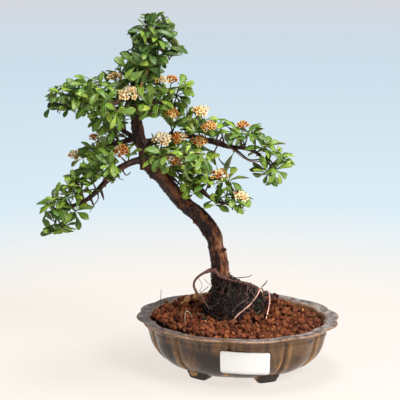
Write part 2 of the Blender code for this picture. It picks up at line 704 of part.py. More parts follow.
class Obstacles:
    """The finished solids, kept as search trees that new leaves have to stay clear of."""

    def __init__(self):
        self.solids = []

    def add(self, item):
        """Remember a finished object."""
        points = [vertex.co.copy() for vertex in item.data.vertices]
        faces = [tuple(face.vertices) for face in item.data.polygons]
        self.add_shape(points, faces)

    def add_shape(self, points, faces):
        """Remember a shape given by its corners and faces."""
        self.solids.append((bounds(points), BVHTree.FromPolygons(points, faces)))

    def touches(self, points, faces):
        """Tell whether a shape crosses any solid that is remembered."""
        low, high = bounds(points)
        tree = None
        for (other_low, other_high), other in self.solids:
            apart = any(low[k] > other_high[k] or high[k] < other_low[k] for k in range(3))
            if apart:
                continue
            tree = tree or BVHTree.FromPolygons(points, faces)
            if tree.overlap(other):
                return True
        return False

    def surface(self, start, direction):
        """Return where a ray from inside the first solid leaves it, and the face's normal."""
        tree = self.solids[0][1]
        place, normal, _, _ = tree.ray_cast(start, direction)
        return place, normal


def bounds(points):
    """Return the lowest and highest corner of some points."""
    low = [min(point[k] for point in points) for k in range(3)]
    high = [max(point[k] for point in points) for k in range(3)]
    return low, high


def point_on_branch(name, share):
    """Return the point at a share of the length of the trunk or of a branch."""
    rows = TRUNK if name == "trunk" else BRANCHES[name]
    points, _ = wood_points(rows)
    lengths = [(b - a).length for a, b in zip(points, points[1:])]
    rest = share * sum(lengths)
    for start, end, length in zip(points, points[1:], lengths):
        if rest <= length:
            return start.lerp(end, rest / length)
        rest -= length
    return points[-1]


def seat_on_wood(obstacles, inside, towards, radius):
    """Return where a twig starts, its end face just clear of the wood that carries it."""
    direction = (towards - inside).normalized()
    place, normal = obstacles.surface(inside, direction)
    steepness = max(LEAST_STEEPNESS, abs(direction.dot(normal)))
    sideways = math.sqrt(max(0.0, 1.0 - steepness * steepness))
    return place + direction * (GAP + radius * sideways) / steepness


def side_vector(axis):
    """Return a unit vector at right angles to an axis."""
    helper = UP if abs(axis.z) < 0.9 else Vector((1.0, 0.0, 0.0))
    return axis.cross(helper).normalized()


def prism(points, radius):
    """Return corners and faces of a thin square rod through points, for testing only."""
    corners = []
    for k, point in enumerate(points):
        axis = (points[min(k + 1, len(points) - 1)] - points[max(k - 1, 0)]).normalized()
        first = side_vector(axis) * radius
        second = axis.cross(first)
        corners += [point + first, point + second, point - first, point - second]
    faces = []
    for k in range(len(points) - 1):
        for side in range(4):
            here = 4 * k + side
            there = 4 * k + (side + 1) % 4
            faces.append((here, there, there + 4, here + 4))
    return corners, faces


def clear_path(start, goal, radius, rng, obstacles):
    """Return three points towards a goal, bowed and moved until a twig there is clear."""
    for attempt in range(PATH_TRIES):
        loose = attempt / PATH_TRIES
        drift = Vector([rng.uniform(-1.0, 1.0) for _ in range(3)]) * PATH_DRIFT * loose
        end = goal + drift
        run = end - start
        first = side_vector(run.normalized())
        second = run.normalized().cross(first)
        angle = rng.uniform(0.0, 2.0 * math.pi)
        bow = TWIG_BOW * run.length * loose
        middle = start.lerp(end, 0.5) + UP * run.length * TWIG_ARCH
        middle += (first * math.cos(angle) + second * math.sin(angle)) * bow
        first_step = (middle - start).normalized() * 1.6 * radius
        rod = prism((start + first_step, middle, end), radius + LEAF_CLEARANCE)
        over_end = end + (end - middle).normalized() * BUD_RADIUS
        tip = prism((middle.lerp(end, 0.6), over_end), BUD_RADIUS + LEAF_CLEARANCE)
        if not obstacles.touches(*rod) and not obstacles.touches(*tip):
            return start, middle, end
    raise RuntimeError(f"no clear way for a twig at {tuple(goal / MM)}")


def bud(name, centre, radius, collection):
    """Make a small round bud, which leaves or flowers grow from."""
    shape = bmesh.new()
    bmesh.ops.create_icosphere(shape, subdivisions=1, radius=radius, matrix=Matrix.Translation(centre))
    return add_solid(name, shape, collection)


def bud_faces(shape, centre, radius):
    """Return the whole faces of a bud that its twig has left open."""
    near = (0.98 * radius, 1.02 * radius)
    return [
        face for face in shape.faces
        if len(face.verts) == 3 and all(near[0] < (v.co - centre).length < near[1] for v in face.verts)
    ]


def best_face(faces, direction):
    """Return the face that looks most along a direction, or None where none does."""
    best = max(faces, key=lambda face: face.normal.dot(direction), default=None)
    if best is None or best.normal.dot(direction) < FACE_MATCH:
        return None
    return best


def leaf_frame(along, upper):
    """Return the directions across a leaf and out of its upper face."""
    across = upper.cross(along).normalized()
    return across, along.cross(across).normalized()


def leaf_corners(base, along, upper, length, width, thickness):
    """Return the seven corners of a folded obovate blade: two at the middle, two where it is
    widest, the ridge above and below, and the tip."""
    across, upper = leaf_frame(along, upper)
    fold = LEAF_FOLD * width
    arch = LEAF_ARCH * length
    corners = []
    for place, reach in LEAF_OUTLINE:
        middle = base + along * length * place + upper * (fold + arch * math.sin(math.pi * place))
        corners.append(middle + across * width * reach)
        corners.append(middle - across * width * reach)
    ridge = base + along * length * LEAF_RIDGE + upper * arch
    corners.append(ridge + upper * thickness / 2.0)
    corners.append(ridge - upper * thickness / 2.0)
    corners.append(base + along * length - upper * arch)
    return corners


# Blade faces by corner: 0 and 1 middle, 2 and 3 widest, 4 ridge above, 5 ridge below, 6 tip
BLADE_FACES = (
    (4, 0, 2), (4, 2, 6), (4, 6, 3), (4, 3, 1), (5, 2, 0), (5, 6, 2), (5, 3, 6), (5, 1, 3),
)
# The same with a single point, corner 7, in the place of the stalk
LONE_BLADE_FACES = BLADE_FACES + ((7, 0, 4), (7, 4, 1), (7, 1, 5), (7, 5, 0))


def lone_blade(base, along, upper, length, width, thickness):
    """Return the corners of a blade closed by one point at its base, for testing only."""
    return leaf_corners(base, along, upper, length, width, thickness) + [base]


def leaf_shape(face, along, upper, length, width):
    """Return corners and faces of a leaf on a bud's face, whose three corners come last."""
    across, upper = leaf_frame(along, upper)
    base = face.calc_center_median()
    corners = leaf_corners(base, along, upper, length, width, LEAF_THICKNESS)
    roots = sorted(range(3), key=lambda k: (face.verts[k].co - base).dot(across))
    right, lone, left = (7 + k for k in roots)
    above = (face.verts[roots[1]].co - base).dot(upper) > 0.0
    near, far = (4, 5) if above else (5, 4)
    faces = BLADE_FACES + (
        (left, 0, near), (left, near, lone), (lone, near, right), (right, near, 1),
        (right, 1, far), (left, right, far), (left, far, 0),
    )
    return corners + [vertex.co.copy() for vertex in face.verts], faces


def grow(shape, face, corners, faces):
    """Put a worked-out shape on a face of a bud, in the place of that face."""
    roots = list(face.verts)
    fresh = [shape.verts.new(point) for point in corners[:-3]]
    every = fresh + roots
    shape.faces.remove(face)
    for row in faces:
        shape.faces.new([every[k] for k in row])


class Siblings:
    """The leaves or flowers that already grow from one bud."""

    def __init__(self):
        self.shapes = []

    def add(self, points, faces):
        """Remember a shape."""
        self.shapes.append((points, faces, BVHTree.FromPolygons(points, faces)))

    def crossed_by(self, points, faces):
        """Tell whether a shape crosses one of these, other than where they share a corner."""
        tree = BVHTree.FromPolygons(points, faces)
        for other_points, other_faces, other in self.shapes:
            for here, there in tree.overlap(other):
                mine = [points[k] for k in faces[here]]
                theirs = [other_points[k] for k in other_faces[there]]
                if not any((a - b).length < 0.01 * MM for a in mine for b in theirs):
                    return True
        return False


def grow_rosette(shape, centre, axis, count, rng, obstacles):
    """Grow leaves round a bud, each kept clear of what is already there."""
    shape.faces.ensure_lookup_table()
    shape.normal_update()
    faces = bud_faces(shape, centre, BUD_RADIUS)
    blades = Obstacles()
    siblings = Siblings()
    first = side_vector(axis)
    second = axis.cross(first).normalized()
    start = rng.uniform(0.0, 2.0 * math.pi)
    grown = []
    for k in range(count):
        spread = math.radians(LEAF_SPREAD[0] + (LEAF_SPREAD[1] - LEAF_SPREAD[0]) * (k + 0.5) / count)
        for attempt in range(LEAF_TRIES):
            loose = attempt / LEAF_TRIES
            angle = start + k * GOLDEN_ANGLE + rng.uniform(-0.2, 0.2) * (1.0 + 9.0 * loose)
            tilt = spread + rng.uniform(-0.15, 0.15) * (1.0 + 3.0 * loose)
            outward = first * math.cos(angle) + second * math.sin(angle)
            along = (axis * math.cos(tilt) + outward * math.sin(tilt) + UP * LEAF_LIFT).normalized()
            length = LEAF_LENGTH * rng.uniform(*LEAF_LENGTHS) * (1.0 - 0.3 * loose)
            width = LEAF_WIDTH * rng.uniform(*LEAF_WIDTHS) * (1.0 - 0.15 * loose)
            upper = (axis + UP).normalized()
            if upper.cross(along).length < 0.2:
                upper = first
            face = best_face(faces, along)
            if face is None:
                continue
            base = face.calc_center_median()
            wide = lone_blade(
                base - along * BUD_RADIUS, along, upper, length + BUD_RADIUS + LEAF_CLEARANCE,
                width + 2.5 * LEAF_CLEARANCE, LEAF_THICKNESS + 2.5 * LEAF_CLEARANCE,
            )
            if obstacles.touches(wide, LONE_BLADE_FACES):
                continue
            blade = lone_blade(
                base, along, upper, length, width + LEAF_CLEARANCE, LEAF_THICKNESS + LEAF_CLEARANCE
            )
            leaf = leaf_shape(face, along, upper, length, width)
            if blades.touches(blade, LONE_BLADE_FACES) or siblings.crossed_by(*leaf):
                continue
            faces.remove(face)
            grown.append((face, *leaf))
            blades.add_shape(blade, LONE_BLADE_FACES)
            siblings.add(*leaf)
            break
    for row in grown:
        grow(shape, *row)
    return blades


def finish_growth(item, shape):
    """Put the grown shape back into its object."""
    bmesh.ops.recalc_face_normals(shape, faces=shape.faces)
    shape.to_mesh(item.data)
    shape.free()


def make_spray(name, spec, seed, obstacles, collection, material):
    """Make a leafy twig: its stem, a side twig for each further rosette, and the leaves."""
    branch, share, rosettes = spec
    rng = random.Random(seed)
    inside = point_on_branch(branch, share)
    end = mm(*rosettes[0][:3])
    seat = seat_on_wood(obstacles, inside, end, TWIG_RADIUS)
    start, bend, end = clear_path(seat, end, TWIG_RADIUS, rng, obstacles)
    radii = [TWIG_RADIUS * share for share in TWIG_TAPER]
    stem = tube(name, (start, bend, end), radii, collection, resolution=0)
    pieces = []
    paths = [(start, bend, end)]
    ends = [(end, (end - bend).normalized(), rosettes[0][3])]
    for k, row in enumerate(rosettes[1:]):
        knee = start.lerp(bend, SIDE_TWIG_START)
        _, middle, place = clear_path(knee, mm(*row[:3]), TWIG_RADIUS, rng, obstacles)
        pieces.append(tube(f"{name}_side_{k}", (knee, middle, place), radii, collection, resolution=0))
        paths.append((knee, middle, place))
        ends.append((place, (place - middle).normalized(), row[3]))
    pieces += [bud(f"{name}_bud_{k}", row[0], BUD_RADIUS, collection) for k, row in enumerate(ends)]
    unite(stem, pieces)
    shape = bmesh.new()
    shape.from_mesh(stem.data)
    kin = Obstacles()
    kin.solids = list(obstacles.solids)
    for path in paths:
        kin.add_shape(*prism((path[0], path[1], path[1].lerp(path[2], 0.8)), TWIG_RADIUS))
    for centre, axis, count in ends:
        axis = (axis + UP * TWIG_LIFT).normalized()
        grown = grow_rosette(shape, centre, axis, count, rng, kin)
        kin.solids += grown.solids
    finish_growth(stem, shape)
    stem.data.materials.append(material)
    obstacles.add(stem)
    return stem


def star(centre, axis, turn, radius):
    """Return the ring of a five-petalled flower: petal tips and the notches between them."""
    first = side_vector(axis)
    second = axis.cross(first).normalized()
    ring = []
    for k in range(10):
        angle = turn + math.pi * k / 5.0
        tip = k % 2 == 0
        reach = radius if tip else radius * PETAL_NOTCH
        lift = PETAL_LIFT if tip else 0.0
        outward = first * math.cos(angle) + second * math.sin(angle)
        ring.append(centre + outward * reach + axis * lift)
    return ring


def floret_shape(face, centre, axis, turn, radius):
    """Return corners and faces of a stalked flower on a hub's face, whose corners come last."""
    base = face.calc_center_median()
    neck_centre = centre - axis * FLORET_DEPTH
    first = side_vector(axis)
    second = axis.cross(first).normalized()
    ring = star(centre, axis, turn, radius)
    neck = []
    for vertex in face.verts:
        offset = vertex.co - base
        offset -= axis * offset.dot(axis)
        neck.append(neck_centre + offset.normalized() * STALK_RADIUS)
    corners = [centre - axis * 0.1 * FLORET_DEPTH] + ring + neck
    faces = [(0, 1 + k, 1 + (k + 1) % 10) for k in range(10)]
    for k in range(3):
        nxt = (k + 1) % 3
        faces.append((14 + k, 14 + nxt, 11 + nxt, 11 + k))

    def angle(k):
        offset = corners[k] - neck_centre
        return math.atan2(offset.dot(second), offset.dot(first)) % (2.0 * math.pi)

    faces += stitched(range(11, 14), range(1, 11), angle)
    return corners + [vertex.co.copy() for vertex in face.verts], tuple(faces)


def stitched(inner, outer, angle):
    """Return the faces of the band between two loops of unlike counts, in order of angle."""
    inner = sorted(inner, key=angle)
    outer = sorted(outer, key=angle)
    faces = []
    i = 0
    o = 0
    while i < len(inner) or o < len(outer):
        here = inner[i % len(inner)]
        there = outer[o % len(outer)]
        next_inner = angle(inner[i]) if i < len(inner) else math.inf
        next_outer = angle(outer[o]) if o < len(outer) else math.inf
        if next_outer <= next_inner:
            o += 1
            faces.append((here, there, outer[o % len(outer)]))
        else:
            i += 1
            faces.append((here, there, inner[i % len(inner)]))
    return faces


def make_bloom(name, spec, seed, obstacles, collection, materials):
    """Make a flower cluster: a stalk, short flower stalks and florets in a low dome."""
    branch, share, place, count, colour = spec
    rng = random.Random(seed)
    inside = point_on_branch(branch, share)
    top = mm(*place)
    seat = seat_on_wood(obstacles, inside, top, STALK_RADIUS)
    axis = ((top - seat).normalized() + BLOOM_LEAN).normalized()
    hub = top - axis * DOME_HEIGHT
    path = clear_path(seat, hub, STALK_RADIUS, rng, obstacles)
    radii = [STALK_RADIUS * share for share in TWIG_TAPER]
    stalk = tube(name, path, radii, collection, resolution=0)
    unite(stalk, [bud(name + "_hub", hub, HUB_RADIUS, collection)])
    shape = bmesh.new()
    shape.from_mesh(stalk.data)
    shape.normal_update()
    faces = bud_faces(shape, hub, HUB_RADIUS)
    first = side_vector(axis)
    second = axis.cross(first).normalized()
    least, each = DOME_GROWTH
    dome = DOME_HEIGHT * (least + each * count)
    grown = []
    siblings = Siblings()
    for k in range(count):
        for attempt in range(LEAF_TRIES):
            loose = attempt / LEAF_TRIES
            tilt = math.acos(1.0 - DOME_SPREAD * (k + 0.25) / count)
            tilt += rng.uniform(-0.4, 0.4) * loose
            angle = k * GOLDEN_ANGLE + rng.uniform(-0.1, 0.1) * (1.0 + 8.0 * loose)
            outward = first * math.cos(angle) + second * math.sin(angle)
            facing = (axis * math.cos(tilt) + outward * math.sin(tilt)).normalized()
            face = best_face(faces, facing)
            turn = rng.uniform(0.0, 2.0 * math.pi)
            radius = FLORET_RADIUS * rng.uniform(0.92, 1.04)
            if face is None:
                continue
            floret = floret_shape(face, hub + facing * dome, facing, turn, radius)
            if siblings.crossed_by(*floret):
                continue
            faces.remove(face)
            grown.append((face, *floret))
            siblings.add(*floret)
            break
    for row in grown:
        grow(shape, *row)
    finish_growth(stalk, shape)
    stalk.data.materials.append(materials[colour])
    obstacles.add(stalk)
    return stalk


def stand_over_origin(collection):
    """Parent the pieces to an empty that brings the middle of their box over the origin."""
    points = []
    for item in collection.objects:
        mesh = evaluated_mesh(item)
        points += [vertex.co.copy() for vertex in mesh.vertices]
        bpy.data.meshes.remove(mesh)
    low, high = bounds(points)
    frame = bpy.data.objects.new("bonsai_frame", None)
    bpy.context.scene.collection.objects.link(frame)
    frame.location = (-(low[0] + high[0]) / 2.0, -(low[1] + high[1]) / 2.0, -low[2])
    for item in collection.objects:
        item.parent = frame


def main():
    """Build the whole bonsai."""
    clear_scene()
    collection = bpy.data.collections.new("pyracantha_bonsai")
    bpy.context.scene.collection.children.link(collection)
    materials = make_materials()
    wood = make_wood(collection, materials["bark"])
    pot = make_pot(collection, materials["glaze"])
    make_screens(collection, materials["screen"])
    soil = make_soil(collection, materials["soil"])
    make_wires(collection, materials["copper"])
    make_label(collection, materials["paper"])
    obstacles = Obstacles()
    for item in (wood, pot, soil):
        obstacles.add(item)
    for seed, (name, spec) in enumerate(BLOOMS.items()):
        make_bloom(name, spec, 100 + seed, obstacles, collection, materials)
    for seed, (name, spec) in enumerate(SPRAYS.items()):
        make_spray(name, spec, 300 + seed, obstacles, collection, materials["leaf"])
    stand_over_origin(collection)


main()
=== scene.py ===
"""Looks, light and camera for a flowering firethorn bonsai in its glazed pot.

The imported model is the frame. Finer pieces stand for its solids: bark that has grown together
with its roots, ribbed leaves, flowers with petals, loose soil grains and the glazed pot.
Lengths are in metres, +Z is up and -Y is the tree's front.
"""

from __future__ import annotations

import logging
import math
import random
from collections.abc import Iterable, Sequence
from dataclasses import dataclass, field
from enum import Enum

import bpy
import numpy as np
from mathutils import Euler, Matrix, Vector, noise

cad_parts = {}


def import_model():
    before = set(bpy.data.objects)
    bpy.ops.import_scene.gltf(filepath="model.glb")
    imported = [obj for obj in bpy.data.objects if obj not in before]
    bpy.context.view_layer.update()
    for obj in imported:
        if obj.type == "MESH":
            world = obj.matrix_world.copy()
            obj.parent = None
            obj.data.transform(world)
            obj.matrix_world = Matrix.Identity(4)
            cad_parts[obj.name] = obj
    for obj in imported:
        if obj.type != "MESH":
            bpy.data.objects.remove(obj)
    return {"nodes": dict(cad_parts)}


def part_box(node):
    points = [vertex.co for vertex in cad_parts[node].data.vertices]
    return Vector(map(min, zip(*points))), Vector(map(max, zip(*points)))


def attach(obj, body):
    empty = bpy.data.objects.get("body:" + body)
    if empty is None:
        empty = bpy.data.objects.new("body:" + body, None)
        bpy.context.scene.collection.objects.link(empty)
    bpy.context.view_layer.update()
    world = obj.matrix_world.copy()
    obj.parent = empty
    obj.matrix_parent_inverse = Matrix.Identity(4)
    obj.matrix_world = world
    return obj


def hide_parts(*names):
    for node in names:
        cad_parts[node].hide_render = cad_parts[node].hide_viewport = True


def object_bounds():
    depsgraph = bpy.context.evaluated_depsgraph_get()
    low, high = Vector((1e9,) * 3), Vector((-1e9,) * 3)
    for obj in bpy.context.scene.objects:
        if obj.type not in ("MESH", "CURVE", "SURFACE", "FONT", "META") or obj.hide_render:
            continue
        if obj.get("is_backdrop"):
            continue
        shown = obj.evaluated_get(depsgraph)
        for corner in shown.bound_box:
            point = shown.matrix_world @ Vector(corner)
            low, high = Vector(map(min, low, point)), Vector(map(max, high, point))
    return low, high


MM = 0.001
UP = Vector((0.0, 0.0, 1.0))
GOLDEN_ANGLE = math.radians(137.5)
FULL_TURN = 2.0 * math.pi
LOG = logging.getLogger("bonsai")

Colour = tuple[float, float, float]
Note = tuple[float, float, float, float]
Row = tuple[float, ...]


class Tone(Enum):
    """What most flowers of a cluster have come to."""

    CREAM = "cream"
    RUST = "rust"


class Stage(Enum):
    """How far a single flower has come."""

    BUD = 0
    OPEN = 1
    FADED = 2


# Wood, in millimetres from the middle of the pot: x, y, z and the radius there
TRUNK: tuple[Row, ...] = (
    (-15, 0, 80, 8.2), (-16, 0, 90, 8.6), (-17, 0, 100, 7.8), (-20, 1, 113, 7.0),
    (-22, 2, 124, 6.9), (-27.8, 3, 134, 7.2), (-37.0, 4, 145, 7.2), (-46.2, 4, 152.8, 6.9),
    (-55.6, 3, 162.4, 6.7), (-63.2, 1, 172.5, 6.3), (-71, -1, 182.5, 6.1), (-79.5, -3, 191, 6.7),
    (-84, -4, 199, 5.4), (-86.5, -4, 207, 4.9), (-89, -3, 216, 5.5), (-91, -2, 226, 5.1),
    (-92.5, -1, 236, 4.6), (-94, 0, 247, 4.3), (-94.5, 1, 258, 3.6), (-93, 1, 268, 3.0),
    (-87.5, 2, 278, 2.8), (-82, 3, 288, 2.5), (-78, 3, 298, 2.1), (-75.5, 2, 307, 1.7),
    (-75.5, 2, 313, 1.2),
)
BRANCHES: dict[str, tuple[Row, ...]] = {
    "left_low": (
        (-81, -4, 193, 3.6), (-90, -6, 197, 3.3), (-99, -9, 195, 3.0), (-108, -12, 190.5, 2.9),
        (-118, -16, 181.5, 2.7), (-127, -18, 172, 2.5), (-138, -20, 163, 2.2),
        (-149, -22, 159, 1.9), (-158, -24, 157, 1.5), (-163, -25, 150, 1.2),
    ),
    "left_middle": (
        (-90, -2, 220, 3.2), (-98, 4, 214.5, 2.8), (-107, 12, 210.5, 2.4), (-118, 21, 206, 2.0),
        (-130, 30, 200, 1.6), (-139, 34, 194.5, 1.2),
    ),
    "left_high": (
        (-94, 1, 256, 3.4), (-106, 2, 251.5, 3.0), (-118, 4, 249.5, 2.7), (-131, 6, 250, 2.4),
        (-144, 8, 246.5, 2.0), (-154, 8, 245, 1.6), (-162, 8, 246, 1.2),
    ),
    "right_high": (
        (-93.5, 0, 246, 3.0), (-81, 5, 249, 2.6), (-69, 9, 248, 2.3), (-59, 12, 245, 1.8),
        (-52, 15, 245, 1.3),
    ),
    "right_long": (
        (-86.5, -4, 211, 3.9), (-76, -1, 214.5, 3.4), (-62, 3, 217, 3.0), (-48, 6, 218, 2.7),
        (-36, 8, 215, 2.5), (-22, 8, 211.5, 2.2), (-8, 6, 207.5, 2.0), (5, 4, 206.5, 1.8),
        (15, 2, 203.5, 1.6), (23, 0, 197.5, 1.3), (29, -2, 192, 1.1),
    ),
    "right_low": (
        (-68, 0, 179, 3.6), (-63, 5, 185.5, 3.1), (-53, 8, 186.5, 2.6), (-45, 6, 181, 2.3),
        (-38, 2, 173, 2.0), (-31, -2, 166, 1.7), (-22, -6, 160.5, 1.5), (-12, -10, 158.5, 1.2),
    ),
    "front_right": (
        (-84.5, -4, 201, 2.6), (-77, -17, 204, 1.8), (-67, -28, 206.5, 1.4),
        (-54, -37, 208.5, 1.2), (-43, -42, 209, 0.9),
    ),
    "front_left": (
        (-94, 0, 249, 2.7), (-98.5, -14, 253.5, 2.2), (-104, -26, 255, 1.8), (-109, -36, 252.5, 1.2),
    ),
    "back_high": (
        (-91.5, -1, 229, 2.8), (-91, 14, 231.5, 2.3), (-86, 30, 233, 1.8), (-78, 44, 235, 1.2),
    ),
    "back_low": (
        (-83, -3, 197, 2.7), (-81, 14, 199, 2.3), (-71, 31, 197, 1.8), (-59, 46, 194.5, 1.2),
    ),
    "back_left": (
        (-87.5, -3, 210, 2.7), (-98, 17, 215.5, 2.3), (-111, 33, 220, 1.8), (-124, 46, 219, 1.2),
    ),
    "apex_left": ((-79.5, 3, 293, 1.9), (-87, 0, 294.5, 1.5), (-93, -3, 292.5, 1.1)),
    "apex_right": ((-78.5, 3, 297, 1.8), (-71.5, -1, 297.5, 1.5), (-66, -3, 294.5, 1.1)),
}
SURFACE_ROOTS: tuple[tuple[Row, ...], ...] = (
    (
        (-17, -4, 92, 2.6), (-24.0, -8, 95.6, 2.1), (-32, -10, 93, 1.3), (-38, -11, 88.5, 1.15),
        (-40.5, -11, 82.5, 1.15), (-38.5, -11, 76, 1.2), (-34.5, -9.5, 69.5, 1.2),
        (-31.5, -8, 65.5, 1.1), (-28.5, -6.5, 61.5, 1.0), (-23, -5, 55, 1.0),
    ),
    (
        (-22, -7.0, 94.5, 1.9), (-16, -10, 90, 1.6), (-6, -11, 87, 1.55), (4, -10, 84, 1.5),
        (12, -7.5, 81, 1.5), (18, -4, 76.5, 1.45), (23, -1, 69, 1.4), (24.5, 0, 60, 1.3),
        (21, 0, 48, 1.3),
    ),
)
# Knots and stubs of cut twigs: centre, direction, length and radius
STUBS: tuple[tuple[Row, Row, float, float], ...] = (
    ((-27, -2, 128), (-1.0, -0.5, 0.1), 7.8, 1.5),
    ((-41, -1.5, 151.5), (-0.35, -0.8, 0.6), 8.5, 2.0),
    ((-15, -3, 113), (0.9, -0.6, 0.2), 6.6, 1.4),
    ((-58, 0, 160), (0.6, -0.7, -0.6), 8.5, 1.7),
    ((-68, -3, 186), (0.8, -0.7, 0.3), 8.0, 1.5),
    ((-83, -5, 192), (-0.9, -0.5, -0.2), 8.0, 2.2),
    ((-93, -3, 231), (-0.8, -0.8, 0.2), 7.0, 1.7),
    ((-46, 9, 157), (-0.2, 1.0, 0.4), 7.0, 2.2),
    ((-124, -18, 175), (0.3, -0.3, -1.0), 13.0, 0.9),
    ((-133, -20, 166), (0.35, 0.3, -1.0), 11.0, 0.8),
    ((-90.5, -1.8, 293.4), (-0.7, 0.7, 0.5), 8.0, 0.7),
    ((-77, 3, 302), (-0.85, -0.2, 0.6), 9.0, 0.7),
    ((-45, 6, 217), (0.1, -0.4, 0.9), 8.0, 2.4),
)
# Knobs on the trunk's outline: place and radius
KNOBS: tuple[Row, ...] = (
    (-15.5, -5, 129, 3.0), (-12.8, -2, 119, 1.3), (-28, -1, 112, 1.5), (-40.5, 0, 137.5, 1.7),
    (-54, 0, 152.5, 1.9), (-68.5, -1, 166, 1.9), (-79, -3, 181.5, 1.8), (-26.5, -5, 148, 2.0),
    (-33, -4, 157, 1.8), (-8.5, -2, 104.5, 1.8), (-26.5, -3, 104, 1.4), (-36, -6, 150, 2.4),
)
# Root mound: height, centre x and y, half length and half width
MOUND: tuple[Row, ...] = (
    (36.6, -2.0, 0.0, 26.5, 20.5), (50.0, -2.0, 0.0, 27.5, 21.5), (60.0, -2.5, 0.0, 26.0, 18.5),
    (68.5, -3.0, 0.5, 22.0, 14.0), (77.0, -7.0, 1.0, 15.0, 10.5), (85.0, -13.5, 1.0, 9.0, 8.5),
    (91.0, -15.5, 0.5, 6.0, 6.0),
)
# Leafy twigs: branch, share of its length, and each rosette's place and number of leaves
SPRAYS: dict[str, tuple[str, float, tuple[Row, ...]]] = {
    "spray_apex_top": ("trunk", 0.995, ((-77.5, 0, 317.5, 8), (-70, 9, 308.5, 6))),
    "spray_apex_left": ("apex_left", 0.97, ((-99, -6, 290.5, 7), (-93, -12, 303, 6))),
    "spray_apex_right": ("apex_right", 0.97, ((-65, -8, 300, 7), (-62, 4, 287, 6))),
    "spray_apex_back": ("trunk", 0.90, ((-80, 19, 300, 7), (-90, 23, 284, 7))),
    "spray_apex_front": ("trunk", 0.88, ((-82, -18, 298, 6), (-82, -20, 282, 6))),
    "spray_leader": ("trunk", 0.80, ((-97, -12, 277, 6), (-77, -6, 271, 6))),
    "spray_left_high_tip": ("left_high", 0.99, ((-167, 7, 249, 7), (-164, 14, 238, 4))),
    "spray_left_high_front": ("left_high", 0.70, ((-143, -8, 258, 8), (-146, 22, 237, 6))),
    "spray_left_high_twig": ("left_high", 0.55, ((-129, -5, 265, 6),)),
    "spray_left_high_low": ("left_high", 0.42, ((-130, -17, 253, 7), (-119, 21, 262, 7))),
    "spray_front_left": ("front_left", 0.98, ((-115, -41, 256, 7), (-107, -45, 247, 6))),
    "spray_trunk_high": ("left_high", 0.12, ((-106, -8, 268, 6), (-101, 17, 270, 6))),
    "spray_left_middle": ("left_middle", 0.97, ((-145, 38, 191, 7), (-134, 24, 203, 6))),
    "spray_left_middle_low": ("left_middle", 0.47, ((-121, 20, 196, 6), (-114, 30, 212, 5))),
    "spray_back_left": ("back_left", 0.98, ((-130, 50, 213, 7), (-124, 42, 229, 7))),
    "spray_back_left_inner": ("back_left", 0.50, ((-106, 38, 230, 7),)),
    "spray_left_low_top": ("left_low", 0.42, ((-122, -26, 190, 7), (-112, -30, 201, 6))),
    "spray_left_low_middle": ("left_low", 0.64, ((-139, -10, 179, 7), (-148, -14, 168, 6))),
    "spray_left_low_tip": ("left_low", 0.90, ((-160, -30, 163, 8),)),
    "spray_left_low_end": ("left_low", 0.995, ((-165, -24, 143, 8),)),
    "spray_right_high": ("right_high", 0.30, ((-79, -7, 260, 6), (-78, -17, 246, 6))),
    "spray_right_high_tip": ("right_high", 0.98, ((-57, 8, 255, 8), (-46, 18, 243, 7))),
    "spray_back_high": ("back_high", 0.98, ((-72, 53, 243, 7), (-73, 54, 229, 7))),
    "spray_right_long_twig": ("right_long", 0.24, ((-62, -3, 231, 7), (-70, 14, 208, 6))),
    "spray_right_long_middle": ("right_long", 0.45, ((-43, 14, 229, 7), (-30, 3, 232, 6))),
    "spray_right_long_outer": ("right_long", 0.62, ((-17, 13, 226, 7), (-22, 3, 203, 6))),
    "spray_right_long_end": ("right_long", 0.78, ((3, 2, 216, 7), (-4, 20, 200, 6))),
    "spray_right_long_tip": ("right_long", 0.99, ((24, 9, 205, 6), (34, -5, 188, 8))),
    "spray_front_right": ("front_right", 0.98, ((-35, -46, 211, 8), (-49, -46, 201, 6))),
    "spray_back_low": ("back_low", 0.98, ((-51, 55, 191, 8),)),
    "spray_right_low": ("right_low", 0.36, ((-50, 24, 191, 7), (-22, 10, 172, 6))),
    "spray_right_low_tip": ("right_low", 0.99, ((-5, -13, 160, 8),)),
}
